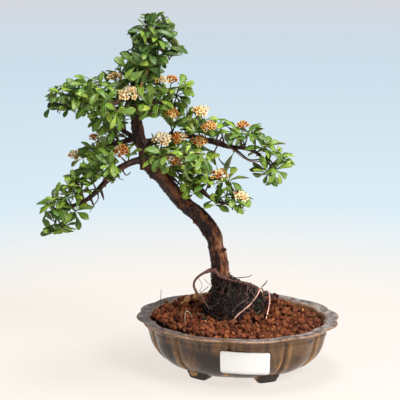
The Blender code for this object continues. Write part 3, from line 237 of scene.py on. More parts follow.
# More rosettes on short shoots from the nearest wood: place and number of leaves
SHOOTS: dict[str, tuple[Row, ...]] = {
    "spray_front_right": (
        (-70, -27, 211, 8), (-57, -33, 207, 8), (-76, -22, 206, 7), (-48, -36, 205, 8),
        (-64, -36, 208, 9), (-74, -30, 203, 8),
    ),
    "spray_right_low": (
        (-72, -12, 204, 9), (-62, -14, 193, 9), (-47, -10, 205, 9), (-44, -6, 193, 9),
        (-36, -6, 184, 8), (-31, -8, 195, 8), (-40, -8, 167, 7), (-27, -9, 178, 8),
        (-9, -8, 179, 9),
    ),
    "spray_right_low_tip": (
        (-17, -12, 165, 8), (-4, -14, 166, 7), (3, -14, 155, 8), (-20, -12, 157, 7), (-45, -8, 173, 7),
        (-52, -8, 179, 7),
    ),
    "spray_right_high": ((-72, -10, 252, 9), (-88, -14, 240, 8), (-78, -6, 268, 8)),
    "spray_right_high_tip": ((-54, -6, 262, 9), (-66, 2, 262, 8), (-49, -4, 238, 7)),
    "spray_right_long_twig": ((-78, -6, 222, 7), (-56, -4, 234, 7)),
    "spray_right_long_middle": ((-40, -6, 222, 8), (-24, -2, 221, 8), (-14, 4, 229, 8)),
    "spray_right_long_end": ((8, -4, 222, 8), (-1, -6, 222, 8), (15, 2, 219, 7)),
    "spray_right_long_tip": ((22, -2, 207, 8), (36, 2, 198, 8), (25, -6, 186, 8)),
    "spray_left_high_front": ((-135, -6, 266, 9), (-148, -4, 256, 8), (-140, 2, 243, 8)),
    "spray_left_high_tip": ((-158, -2, 255, 8), (-152, 4, 244, 7)),
    "spray_left_high_low": ((-122, -14, 262, 9), (-118, -10, 242, 8), (-128, -8, 246, 7)),
    "spray_trunk_high": ((-112, -14, 258, 9), (-98, -16, 270, 8), (-104, -14, 244, 8)),
    "spray_left_middle_low": (
        (-112, -4, 226, 8), (-108, 2, 201, 8), (-122, 4, 229, 8), (-99, -8, 203, 9),
    ),
    "spray_left_middle": ((-128, 12, 200, 8), (-118, 10, 216, 7)),
    "spray_left_low_top": ((-127, -20, 192, 8), (-130, -22, 180, 8)),
    "spray_left_low_middle": ((-146, -22, 180, 7), (-140, -24, 172, 8)),
    "spray_left_low_tip": ((-152, -26, 166, 8), (-146, -26, 155, 8), (-166, -26, 158, 6)),
    "spray_left_low_end": ((-158, -26, 140, 8), (-166, -26, 135, 7)),
    "spray_leader": ((-90, -10, 268, 8), (-86, -12, 282, 8)),
    "spray_apex_front": ((-74, -14, 306, 8), (-80, -10, 313, 7), (-72, -14, 292, 8)),
}
# Orange young stem in front of the leader: x, y, z and radius
YOUNG_STEM: tuple[Row, ...] = (
    (-90, -12, 258, 1.2), (-88, -18, 264, 1.2), (-84.5, -19, 272, 1.1), (-81, -17, 280, 0.9),
    (-79, -14, 288, 0.7),
)
# Thin twigs that bear little: x, y, z and radius
TWIGS: tuple[tuple[Row, ...], ...] = (
    ((-62, -2, 184, 1.2), (-54, -5, 176, 1.0), (-45, -6, 171, 0.9), (-34, -8, 172, 0.7)),
    ((-44, 2, 181, 1.1), (-35, -5, 174, 1.0), (-27, -8, 165, 0.9), (-20, -9, 158, 0.8)),
    ((-56, 2, 186, 1.0), (-50, -4, 180, 0.9), (-41, -6, 177, 0.8), (-37, -7, 169, 0.6)),
    ((-9, 5, 209, 1.1), (0, 1, 204, 0.9), (9, -2, 197.5, 0.8), (17, -3, 197.5, 0.8),
     (23, -2, 199, 0.7)),
    ((-101, -9, 195, 1.0), (-104, -11, 190, 0.8), (-101, -12, 185, 0.7), (-97, -12, 188, 0.5)),
    ((-106, -11, 192, 0.9), (-110, -13, 187, 0.7), (-107, -14, 182.5, 0.6), (-103, -13, 181, 0.4)),
    ((-112, -13, 188, 0.9), (-111, -15, 182, 0.7), (-115, -16, 178, 0.5)),
    ((-127, -18, 173, 0.8), (-126, -20, 165, 0.6), (-131, -20, 158, 0.5), (-134, -20, 152, 0.4)),
    ((-84, -3, 322, 0.9), (-82.5, -2.5, 318, 0.7), (-81, -1, 312, 0.7), (-78.4, 2.0, 304, 0.8)),
    ((-106, -4, 293, 1.1), (-101, -3, 294.5, 1.3), (-95, -3, 292.5, 1.1), (-89, -1, 294, 1.0)),
    ((-60, 0, 295, 1.8), (-63, -1, 294, 2.2), (-68, -1, 296, 1.3)),
    ((-72, 10, 262, 1.0), (-74, 6, 256, 0.9), (-75, 6, 250, 0.9)),
    ((-62, 6, 256, 0.8), (-61, 8, 251, 0.8), (-60, 11, 246, 0.8)),
    ((-172, 7, 243, 0.8), (-171, 7, 247, 0.9), (-165, 8, 247, 0.8), (-160, 8, 246, 0.9)),
    ((-161, -4, 239, 0.5), (-160, 2, 242, 0.5), (-158, 7, 245, 0.6)),
)
# Foliage pads that the tree is trimmed to, in millimetres: x, z, half length and half height.
# They sink a little towards the back.
PADS: tuple[Row, ...] = (
    (-77, 313, 19, 16.5), (-72, 293, 24, 12.5), (-98, 286, 13, 6.5), (-88, 275, 19, 12),
    (-110, 262, 24, 17.5), (-136, 260, 22, 16), (-156, 253, 18.5, 11), (-145, 243, 15, 8),
    (-166, 238, 6, 5), (-116, 233, 19, 17), (-120, 208, 22, 13), (-141, 197, 20, 8),
    (-121, 191, 17, 9), (-137, 180, 19.5, 12), (-150, 162, 20, 15), (-172, 159, 12, 5),
    (-137, 147, 13, 7), (-158, 143, 17, 12), (-172, 131, 5, 9), (-64, 256, 22, 17),
    (-52, 264, 10, 9), (-84, 242, 16, 7), (-52, 237, 13, 10), (-27, 225, 24, 11),
    (6, 220, 17, 13), (30, 196, 19.5, 21), (-58, 200, 28, 14), (-35, 200, 15, 12),
    (-35, 183, 17, 13), (-9, 181, 16, 9), (-6, 160, 20, 12), (-42, 171, 10, 9),
    (-18, 156, 12, 7), (-98, 206, 9, 7.5),
)
PAD_SINK = 0.15
# Flower clusters: branch, share of its length, centre, size against the usual one, and tone
BLOOMS: dict[str, tuple[str, float, Row, float, Tone]] = {
    "bloom_front_big": ("front_left", 0.30, (-97, -24, 262), 1.3, Tone.CREAM),
    "bloom_left_top": ("left_high", 0.20, (-111, 4, 272), 0.9, Tone.CREAM),
    "bloom_right_top": ("right_high", 0.22, (-71, 3, 270), 0.9, Tone.CREAM),
    "bloom_right_top_tip": ("right_high", 0.72, (-61, 16, 268), 0.9, Tone.RUST),
    "bloom_right_under": ("right_high", 0.70, (-60, -6, 241), 0.8, Tone.RUST),
    "bloom_long_top": ("right_long", 0.48, (-34, -5, 243), 0.95, Tone.CREAM),
    "bloom_long_front": ("right_long", 0.55, (-27, -12, 230), 0.95, Tone.RUST),
    "bloom_long_end": ("right_long", 0.74, (4, 14, 227), 0.85, Tone.RUST),
    "bloom_middle_cream": ("right_long", 0.16, (-69, -15, 219), 1.1, Tone.CREAM),
    "bloom_middle_rust": ("right_long", 0.30, (-54, -12, 220), 1.0, Tone.RUST),
    "bloom_long_low": ("right_long", 0.42, (-35, -7, 216), 1.0, Tone.RUST),
    "bloom_centre": ("right_low", 0.10, (-58, -14, 201), 1.1, Tone.RUST),
    "bloom_left_trunk": ("left_middle", 0.20, (-105, -12, 208), 0.9, Tone.RUST),
    "bloom_low_right": ("right_low", 0.62, (-18, -10, 186), 1.15, Tone.RUST),
    "bloom_low_tip": ("right_low", 0.82, (2, -24, 169), 0.9, Tone.CREAM),
    "bloom_left_back": ("left_middle", 0.66, (-133, 27, 213), 0.7, Tone.RUST),
    "bloom_left_end": ("left_middle", 0.93, (-152, 30, 196), 0.75, Tone.CREAM),
}
# Single roots and hairs that the eye picks out: colour, and x, y, z and radius of each point
LOOSE_ROOTS: tuple[tuple[Colour, tuple[Row, ...]], ...] = (
    ((0.62, 0.48, 0.34), ((-48, -26, 49, 0.4), (-48.6, -26, 54, 0.42), (-48, -24.5, 60.3, 0.42),
                          (-45.6, -23.5, 60.4, 0.38), (-42.8, -22.5, 56.8, 0.3), (-42, -22, 54, 0.3))),
    ((0.10, 0.06, 0.05), ((-27, -9, 80, 0.3), (-31, -9, 77, 0.3), (-34, -9, 74.5, 0.3),
                          (-35, -9, 76.5, 0.25))),
    ((0.06, 0.05, 0.04), ((-72, 22, 48, 0.3), (-72, 22, 58, 0.3), (-71.5, 22, 68, 0.25))),
    ((0.09, 0.07, 0.06), ((-13, -4, 90, 0.5), (-6, -4, 87.5, 0.5), (0, -4, 87, 0.45), (6, -4, 87.6, 0.4),
                          (10.5, -4, 88.2, 0.4), (13, -4, 90, 0.3))),
    ((0.05, 0.04, 0.035), ((22, -6, 79, 0.5), (25, -6, 82, 0.45), (27, -6, 85, 0.35))),
    ((0.03, 0.02, 0.018), ((20, 8, 66, 1.6), (27, 12, 66.5, 2.0), (33, 14, 64, 1.9), (38, 15, 58, 1.5),
                           (41, 15, 48, 1.2))),
    ((0.30, 0.17, 0.13), ((-34, -11, 74, 0.4), (-31.5, -12, 68, 0.4), (-28.5, -12.5, 63, 0.35),
                          (-25, -13, 58, 0.3))),
    ((0.16, 0.09, 0.07), ((-37, -12, 90, 0.25), (-33, -12, 82, 0.22), (-36, -12, 76, 0.2))),
    ((0.16, 0.09, 0.07), ((-31, -12, 88, 0.22), (-26, -12, 83, 0.22), (-22, -11, 80, 0.2))),
)
# Yellowish stones among the grains: x, y, z and half size
YELLOW_STONES: tuple[Row, ...] = (
    (-47, 30, 56.0, 3.9), (-39, 34, 57.0, 4.8), (-52, 26, 53.5, 2.4), (33, 36, 52.5, 2.8),
    (45, 30, 46.5, 2.2), (62, 21, 46.0, 2.6), (66, 17, 45.6, 2.0), (-30, -26, 51.0, 1.5),
)
# Heaps on the soil: height, centre x and y, and how far they spread each way
HEAPS: tuple[Row, ...] = (
    (6.0, -40, 50, 32, 20), (2.0, -74, 0, 20, math.inf), (13.0, 36, 15, 16, 13), (8.0, 29, -6, 13, 11),
    (8.0, 12, -20, 9, 8),
)
# Wires: the front and right ones start over a root and end in the soil, the long one lies on a branch
TIE_FRONT: tuple[Row, ...] = (
    (24.5, 1.5, 70), (22.8, -0.2, 75.2), (20.6, -3.4, 76.6), (19, -6.6, 73.5), (16.2, -9.4, 69.6),
    (11.5, -15.2, 65.4), (6.2, -19, 61.6), (0.2, -22.4, 57.8), (-3.5, -25, 54.2), (-5, -26.5, 50),
)
TIE_LONG: tuple[Row, ...] = (
    (-20, 10.5, 213.5), (-14, 5.2, 212.2), (-9, 3.2, 208.6), (-2, 0.5, 203.6), (4, -3.0, 199.5),
    (11, -4.2, 196), (18, -3.8, 196), (23.5, -2.6, 196.6), (26, 0.6, 195.8), (25.2, 2.4, 197.4),
)
TIE_RIGHT: tuple[Row, ...] = (
    (23.4, 1.6, 68), (24.6, 0.6, 71.8), (26.4, -1.8, 73.6), (28.6, -4.6, 72.6), (29.2, -8.4, 67.8),
    (28.2, -12.6, 61.4), (26.4, -17, 55.2), (25, -20.4, 50.6), (24.6, -21.4, 47.5),
)
# Lamps: name, place and size in metres, watts and colour
LAMPS: tuple[tuple[str, Row, float, float, Colour], ...] = (
    ("key", (1.05, -1.05, 1.4), 0.8, 44.0, (1.0, 0.97, 0.93)),
    ("fill", (-1.5, -1.0, 0.9), 1.1, 3.0, (0.92, 0.96, 1.0)),
    ("top", (0.1, 0.0, 1.9), 0.8, 31.0, (1.0, 1.0, 1.0)),
)


def mixed(low: float, high: float, share: float) -> float:
    """Return the number at a share of the way from low to high."""
    return low + share * (high - low)


def eased(value: float, low: float, high: float) -> float:
    """Return 0 below low, 1 above high and a smooth rise between them."""
    share = min(max((value - low) / (high - low), 0.0), 1.0)
    return share * share * (3.0 - 2.0 * share)


def side_of(axis: Vector) -> Vector:
    """Return a unit vector at right angles to an axis."""
    helper = UP if abs(axis.z) < 0.9 else Vector((1.0, 0.0, 0.0))
    return axis.cross(helper).normalized()


def spoke(first: Vector, second: Vector, angle: float) -> Vector:
    """Return the way at an angle from first towards second, which stands square to it."""
    return first * math.cos(angle) + second * math.sin(angle)


def tinted(colour: Colour, lift: float = 1.0) -> Note:
    """Return a colour as a note, lightened or darkened as a whole."""
    return (colour[0] * lift, colour[1] * lift, colour[2] * lift, 1.0)


def settle(item: bpy.types.Object) -> bpy.types.Mesh:
    """Give an object the mesh that its modifiers make of it, and return that mesh."""
    graph = bpy.context.evaluated_depsgraph_get()
    graph.update()
    mesh = bpy.data.meshes.new_from_object(item.evaluated_get(graph))
    item.modifiers.clear()
    item.data = mesh
    return mesh


@dataclass(frozen=True)
class Site:
    """Where the pot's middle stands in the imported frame, and the box that no piece leaves."""

    shift: Vector
    low: Vector
    high: Vector

    def spot(self, x: float, y: float, z: float) -> Vector:
        """Return the place of a point given in millimetres from the middle of the pot."""
        return Vector((x, y, z)) * MM + self.shift

    def local(self, point: Vector) -> Vector:
        """Return a point in millimetres from the middle of the pot."""
        return (point - self.shift) / MM

    def in_pad(self, point: Vector) -> bool:
        """Tell whether a point lies in one of the foliage pads."""
        place = self.local(point)
        height = place.z + PAD_SINK * place.y
        return any(
            ((place.x - x) / length) ** 2 + ((height - z) / tall) ** 2 < 1.0
            for x, z, length, tall in PADS
        )

    def hides_bloom(self, point: Vector) -> bool:
        """Tell whether a point lies in a flower cluster or close before it."""
        place = self.local(point)
        for _, _, (x, y, z), size, _ in BLOOMS.values():
            beside = math.hypot(place.x - x, 1.25 * (place.z - z - 0.5)) < 8.0 * size
            if beside and place.y < y + 4.0:
                return True
        return False

    def holds(self, points: Iterable[Vector]) -> bool:
        """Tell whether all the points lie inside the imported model's box."""
        return all(self.low[k] < point[k] < self.high[k] for point in points for k in range(3))


@dataclass(frozen=True)
class Knot:
    """A point on the middle line of something round, and the radius there."""

    at: Vector
    radius: float


def rod(places: Sequence[Vector], radii: Sequence[float]) -> list[Knot]:
    """Return knots at places, with their radii given in millimetres."""
    return [Knot(place, radius * MM) for place, radius in zip(places, radii)]


def knots_of(rows: Sequence[Row], site: Site) -> list[Knot]:
    """Return the knots of a wood table.

    Args:
        rows: x, y, z and radius of each point, in millimetres.
        site: where the pot stands.

    Returns:
        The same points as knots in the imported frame.
    """
    return [Knot(site.spot(*row[:3]), row[3] * MM) for row in rows]


def smooth_run(knots: Sequence[Knot], steps: int) -> list[Knot]:
    """Return knots read from a smooth curve through the given ones.

    Args:
        knots: at least two knots.
        steps: pieces in each span between two of them.

    Returns:
        The first knot, the ones read between, and the last knot.
    """
    padded = [knots[0], *knots, knots[-1]]
    run = []
    for k in range(1, len(padded) - 2):
        before, start, end, after = padded[k - 1:k + 3]
        for step in range(steps):
            t = step / steps
            place = 0.5 * (
                2.0 * start.at
                + (end.at - before.at) * t
                + (2.0 * before.at - 5.0 * start.at + 4.0 * end.at - after.at) * t * t
                + (3.0 * start.at - before.at - 3.0 * end.at + after.at) * t * t * t
            )
            run.append(Knot(place, mixed(start.radius, end.radius, eased(t, 0.0, 1.0))))
    run.append(knots[-1])
    return run


def length_at(knots: Sequence[Knot], share: float) -> Vector:
    """Return the place at a share of the length of a line of knots."""
    lengths = [(b.at - a.at).length for a, b in zip(knots, knots[1:])]
    rest = share * sum(lengths)
    for start, end, length in zip(knots, knots[1:], lengths):
        if rest <= length:
            return start.at.lerp(end.at, rest / length)
        rest -= length
    return knots[-1].at.copy()


@dataclass
class Bench:
    """Gathers corners, faces and a note on each corner, and then makes one mesh of them."""

    points: list[Sequence[float]] = field(default_factory=list)
    faces: list[tuple[int, ...]] = field(default_factory=list)
    notes: list[Note] = field(default_factory=list)

    def add(
        self, points: Sequence[Sequence[float]], faces: Iterable[Sequence[int]], notes: Sequence[Note]
    ) -> None:
        """Add a shape whose faces count its own corners from nought."""
        start = len(self.points)
        self.points.extend(points)
        self.faces.extend(tuple(start + k for k in face) for face in faces)
        self.notes.extend(notes)

    def add_rings(self, rings: Sequence[Sequence[Sequence[float]]], notes: Sequence[Note]) -> None:
        """Add a closed skin through rings of equal counts, capped at both ends.

        Args:
            rings: from one end to the other.
            notes: one for each corner, ring by ring.
        """
        count = len(rings[0])
        faces: list[tuple[int, ...]] = []
        for row in range(len(rings) - 1):
            low, high = row * count, (row + 1) * count
            for k in range(count):
                nxt = (k + 1) % count
                faces.append((low + k, low + nxt, high + nxt, high + k))
        faces.append(tuple(range(count))[::-1])
        faces.append(tuple(range((len(rings) - 1) * count, len(rings) * count)))
        self.add([point for ring in rings for point in ring], faces, notes)

    def add_tube(
        self, run: Sequence[Knot], sides: int, note: Note, rough: float = 0.0, seed: float = 0.0
    ) -> None:
        """Add a round rod along a run of knots.

        Args:
            run: the middle line.
            sides: corners in each ring.
            note: what to note on every corner.
            rough: how far the skin swells and shrinks, against the radius.
            seed: which part of the noise it takes its roughness from.
        """
        side = side_of((run[1].at - run[0].at).normalized())
        length = 0.0
        rings = []
        for k, knot in enumerate(run):
            ahead, behind = run[min(k + 1, len(run) - 1)].at, run[max(k - 1, 0)].at
            way = (ahead - behind).normalized()
            side = (side - way * side.dot(way)).normalized()
            lift = way.cross(side)
            length += (knot.at - behind).length
            ring = []
            for step in range(sides):
                angle = FULL_TURN * step / sides
                swell = 1.0
                if rough:
                    around = Vector((1.6 * math.cos(angle), 1.6 * math.sin(angle), 70.0 * length))
                    lump = noise.noise(around * 0.7 + Vector((seed, 0.0, 0.0)))
                    flake = noise.noise(around * 2.1 + Vector((0.0, seed, 0.0)))
                    swell += rough * (lump + 0.5 * flake)
                reach = knot.radius * swell
                ring.append(knot.at + spoke(side, lift, angle) * reach)
            rings.append(ring)
        self.add_rings(rings, [note] * (len(run) * sides))

    def make(self, name: str, material: bpy.types.Material, smooth: bool = True) -> bpy.types.Object:
        """Make the object.

        Args:
            name: the piece's name.
            material: its finish.
            smooth: whether its faces shade as one skin.

        Returns:
            The new object, linked to the scene.
        """
        mesh = bpy.data.meshes.new(name)
        mesh.from_pydata([tuple(point) for point in self.points], [], self.faces)
        layer = mesh.color_attributes.new("note", "FLOAT_COLOR", "POINT")
        layer.data.foreach_set("color", np.array(self.notes, np.float32).ravel())
        mesh.materials.append(material)
        if smooth:
            mesh.shade_smooth()
        mesh.update()
        piece = bpy.data.objects.new(name, mesh)
        bpy.context.scene.collection.objects.link(piece)
        return piece


def fit(piece: bpy.types.Object, slot: str, *nodes: str) -> bpy.types.Object:
    """Hang a piece on the pot's body and hide the solids that it stands for."""
    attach(piece, "root")
    if nodes:
        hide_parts(*nodes)
    LOG.info("%s: %d faces", piece.name, len(piece.data.polygons))
    return piece


class Easel:
    """Wires the nodes of one finish."""

    def __init__(self, name: str) -> None:
        """Start a material with a Principled shader."""
        self.material = bpy.data.materials.new(name)
        self.material.use_nodes = True
        self.tree = self.material.node_tree
        self.shader = self.tree.nodes["Principled BSDF"]
        self.where = self.node("TexCoord", "Object", {})

    def wire(self, target: bpy.types.NodeSocket, value: object) -> None:
        """Link a socket to another socket, or give it a plain value."""
        if isinstance(value, bpy.types.NodeSocket):
            self.tree.links.new(value, target)
        elif isinstance(value, tuple) and len(value) == 3 and target.type == "RGBA":
            target.default_value = (*value, 1.0)
        else:
            target.default_value = value

    def node(
        self, kind: str, output: str | int, inputs: dict[str | int, object], **settings: object
    ) -> bpy.types.NodeSocket:
        """Return an output of a new node.

        Args:
            kind: its type, without the prefix.
            output: which of its outputs.
            inputs: sockets or plain values for its inputs.
            settings: values of its own properties.

        Returns:
            The output's socket.
        """
        node = self.tree.nodes.new("ShaderNode" + kind)
        for name, value in settings.items():
            setattr(node, name, value)
        for key, value in inputs.items():
            self.wire(node.inputs[key], value)
        return node.outputs[output]

    def dress(self, **values: object) -> None:
        """Set or link the shader's sockets, named with underscores for spaces."""
        for name, value in values.items():
            socket = name.replace("_", " ").title().replace("Ior", "IOR")
            self.wire(self.shader.inputs[socket], value)

    def notes(self) -> dict[str, bpy.types.NodeSocket]:
        """Return the four numbers noted on each corner, and the first three as a colour."""
        colour = self.node("Attribute", "Color", {}, attribute_name="note")
        split = self.node("SeparateColor", 0, {0: colour}).node
        first, second, third = split.outputs
        fourth = colour.node.outputs["Alpha"]
        return {"first": first, "second": second, "third": third, "fourth": fourth, "colour": colour}

    def cloud(
        self, scale: float, detail: float = 4.0, stretch: Row = (1.0, 1.0, 1.0), rough: float = 0.6
    ) -> bpy.types.NodeSocket:
        """Return a noise, whose scale is in turns a metre and stretched along each axis."""
        place = self.node("Mapping", 0, {"Vector": self.where, "Scale": stretch})
        inputs = {"Vector": place, "Scale": scale, "Detail": detail, "Roughness": rough}
        return self.node("TexNoise", "Fac", inputs)

    def cells(self, scale: float, stretch: Row) -> bpy.types.NodeSocket:
        """Return the distance to the middle of the nearest cell."""
        place = self.node("Mapping", 0, {"Vector": self.where, "Scale": stretch})
        return self.node("TexVoronoi", "Distance", {"Vector": place, "Scale": scale})

    def sum(self, kind: str, first: object, second: object = 0.0) -> bpy.types.NodeSocket:
        """Return the outcome of a sum, held between 0 and 1 for kinds that end in 01."""
        inputs = {0: first, 1: second}
        return self.node("Math", 0, inputs, use_clamp=kind.endswith("01"), operation=kind.removesuffix("01"))

    def times(self, first: object, second: object) -> bpy.types.NodeSocket:
        """Return one value times another."""
        return self.sum("MULTIPLY", first, second)

    def plus(self, first: object, second: object) -> bpy.types.NodeSocket:
        """Return one value plus another."""
        return self.sum("ADD", first, second)

    def less(self, first: object, second: object) -> bpy.types.NodeSocket:
        """Return one value less another."""
        return self.sum("SUBTRACT", first, second)

    def span(self, value: object, low: float, high: float) -> bpy.types.NodeSocket:
        """Return a value's smooth rise from low to high, as 0 to 1."""
        inputs = {"Value": value, "From Min": low, "From Max": high}
        return self.node("MapRange", "Result", inputs, interpolation_type="SMOOTHSTEP")

    def ramp(self, value: object, *stops: tuple[float, Colour]) -> bpy.types.NodeSocket:
        """Return the colour that a value picks between stops.

        Args:
            value: 0 to 1.
            stops: a place and a colour each.

        Returns:
            The colour.
        """
        colour = self.node("ValToRGB", "Color", {"Fac": value})
        elements = colour.node.color_ramp.elements
        while len(elements) < len(stops):
            elements.new(0.5)
        for element, (place, shade) in zip(elements, stops):
            element.position = place
            element.color = (*shade, 1.0)
        return colour

    def blend(self, share: object, first: object, second: object) -> bpy.types.NodeSocket:
        """Return two colours blended by a share."""
        return self.node("Mix", 2, {0: share, 6: first, 7: second}, data_type="RGBA")

    def emboss(self, height: bpy.types.NodeSocket, strength: float, depth: float) -> None:
        """Raise the surface by a height, over whatever it was raised by before."""
        inputs = {"Strength": strength, "Distance": depth, "Height": height}
        normal = self.shader.inputs["Normal"]
        if normal.is_linked:
            inputs["Normal"] = normal.links[0].from_socket
        self.wire(normal, self.node("Bump", "Normal", inputs))


@dataclass(frozen=True)
class BarkFinish:
    """Rough dark bark with orange-brown patches, partly painted light: they lean to the side that faces +x, towards
    the key lamp; the root mound is nearly black.
    """

    furrow: Colour = (0.014, 0.004, 0.003)
    brown: Colour = (0.056, 0.016, 0.009)
    orange: Colour = (0.215, 0.072, 0.022)
    grey: Colour = (0.340, 0.195, 0.130)
    root: Colour = (0.200, 0.092, 0.070)
    twig: Colour = (0.036, 0.012, 0.009)
    earth: Colour = (0.009, 0.006, 0.005)
    crumb: Colour = (0.075, 0.038, 0.026)

    def make(self) -> bpy.types.Material:
        """Notes hold the wood's girth, how far it belongs to the mound, and how orange it is; the orange is partly
        the bark's own colour and partly painted light on the side that faces +x.

        Returns:
            The material.
        """
        easel = Easel("bark")
        notes = easel.notes()
        patches = easel.cloud(62.0, 5.0, (1.0, 1.0, 0.55))
        flakes = easel.cloud(330.0, 6.0, (1.0, 1.0, 0.35), 0.7)
        rings = easel.cloud(80.0, 3.0, (0.22, 0.22, 1.2))
        rough = easel.plus(easel.times(patches, 0.42), easel.times(flakes, 0.34))
        rough = easel.plus(rough, easel.times(rings, 0.24))
        # The third note pushes the bark towards orange: partly real warm patches, partly painted light on the +x
        # side.
        warm = easel.times(easel.less(notes["third"], 0.45), 0.21)
        old = easel.ramp(
            easel.sum("ADD01", rough, warm),
            (0.41, self.furrow), (0.49, self.brown), (0.585, self.orange), (0.68, self.grey),
        )
        bare = easel.times(notes["third"], easel.span(flakes, 0.30, 0.62))
        slim = easel.blend(bare, self.twig, self.root)
        colour = easel.blend(easel.span(notes["first"], 0.32, 0.75), slim, old)
        colour = easel.blend(easel.times(easel.span(flakes, 0.52, 0.74), 0.22), colour, self.grey)
        soil = easel.ramp(easel.cloud(420.0, 5.0), (0.45, self.earth), (0.72, self.crumb))
        easel.dress(base_color=easel.blend(notes["second"], colour, soil), roughness=0.42)
        easel.dress(specular_ior_level=0.24)
        easel.emboss(flakes, 0.7, 0.7 * MM)
        easel.emboss(easel.cells(520.0, (1.0, 1.0, 0.4)), 0.35, 0.35 * MM)
        return easel.material


@dataclass(frozen=True)
class LeafFinish:
    """Glossy leaf with a pale rib, paler below; each leaf has its own age, and leaves near the crown's top are
    darkened as painted shade.
    """

    old: Colour = (0.016, 0.055, 0.006)
    ripe: Colour = (0.068, 0.155, 0.013)
    young: Colour = (0.220, 0.350, 0.030)
    new: Colour = (0.420, 0.500, 0.070)
    under: Colour = (0.250, 0.330, 0.095)
    rib: Colour = (0.360, 0.440, 0.150)

    def make(self) -> bpy.types.Material:
        """Notes hold the side, the way out from the rib, the way to the tip and the age; near the crown's top the
        age is lowered as painted shade, so those leaves come out darker.

        Returns:
            The material.
        """
        easel = Easel("leaf")
        notes = easel.notes()
        mottle = easel.cloud(260.0, 3.0)
        age = easel.sum("ADD01", notes["fourth"], easel.times(easel.less(mottle, 0.5), 0.18))
        upper = easel.ramp(
            age, (0.05, self.old), (0.42, self.ripe), (0.74, self.young), (1.0, self.new)
        )
        lower = easel.blend(0.35, self.under, upper)
        rib = easel.less(1.0, easel.span(notes["second"], 0.02, 0.12))
        wave = easel.less(notes["third"], easel.times(notes["second"], 0.22))
        vein = easel.span(easel.sum("SINE", easel.times(wave, 52.0)), 0.72, 1.0)
        upper = easel.blend(easel.times(vein, 0.14), upper, self.rib)
        upper = easel.blend(easel.times(rib, 0.50), upper, self.rib)
        rim = easel.span(notes["second"], 0.88, 1.0)
        upper = easel.blend(easel.times(rim, 0.20), upper, self.rib)
        colour = easel.blend(easel.span(notes["first"], 0.35, 0.65), lower, upper)
        easel.dress(base_color=colour, roughness=0.36)
        easel.dress(subsurface_weight=0.12, subsurface_scale=1.0 * MM)
        easel.emboss(easel.less(1.0, easel.sum("MAXIMUM", vein, rib)), 0.35, 0.18 * MM)
        easel.emboss(easel.cloud(900.0, 3.0), 0.15, 0.12 * MM)
        return easel.material


@dataclass(frozen=True)
class NotedFinish:
    """A finish that takes its colour from the note on each corner, with a mottle over it."""

    name: str
    mottle_scale: float
    mottle: float
    roughness: float
    grain_scale: float = 900.0
    grain_depth: float = 0.2 * MM
    glow: float = 0.0
    shine: float = 0.5

    def make(self) -> bpy.types.Material:
        """Return the material."""
        easel = Easel(self.name)
        notes = easel.notes()
        cloud = easel.cloud(self.mottle_scale, 4.0)
        dark = easel.blend(self.mottle, notes["colour"], (0.0, 0.0, 0.0))
        easel.dress(base_color=easel.blend(easel.span(cloud, 0.35, 0.65), dark, notes["colour"]))
        easel.dress(roughness=self.roughness, specular_ior_level=self.shine)
        if self.glow:
            easel.dress(subsurface_weight=self.glow, subsurface_scale=1.0 * MM)
        easel.emboss(easel.cloud(self.grain_scale, 4.0), 0.6, self.grain_depth)
        return easel.material


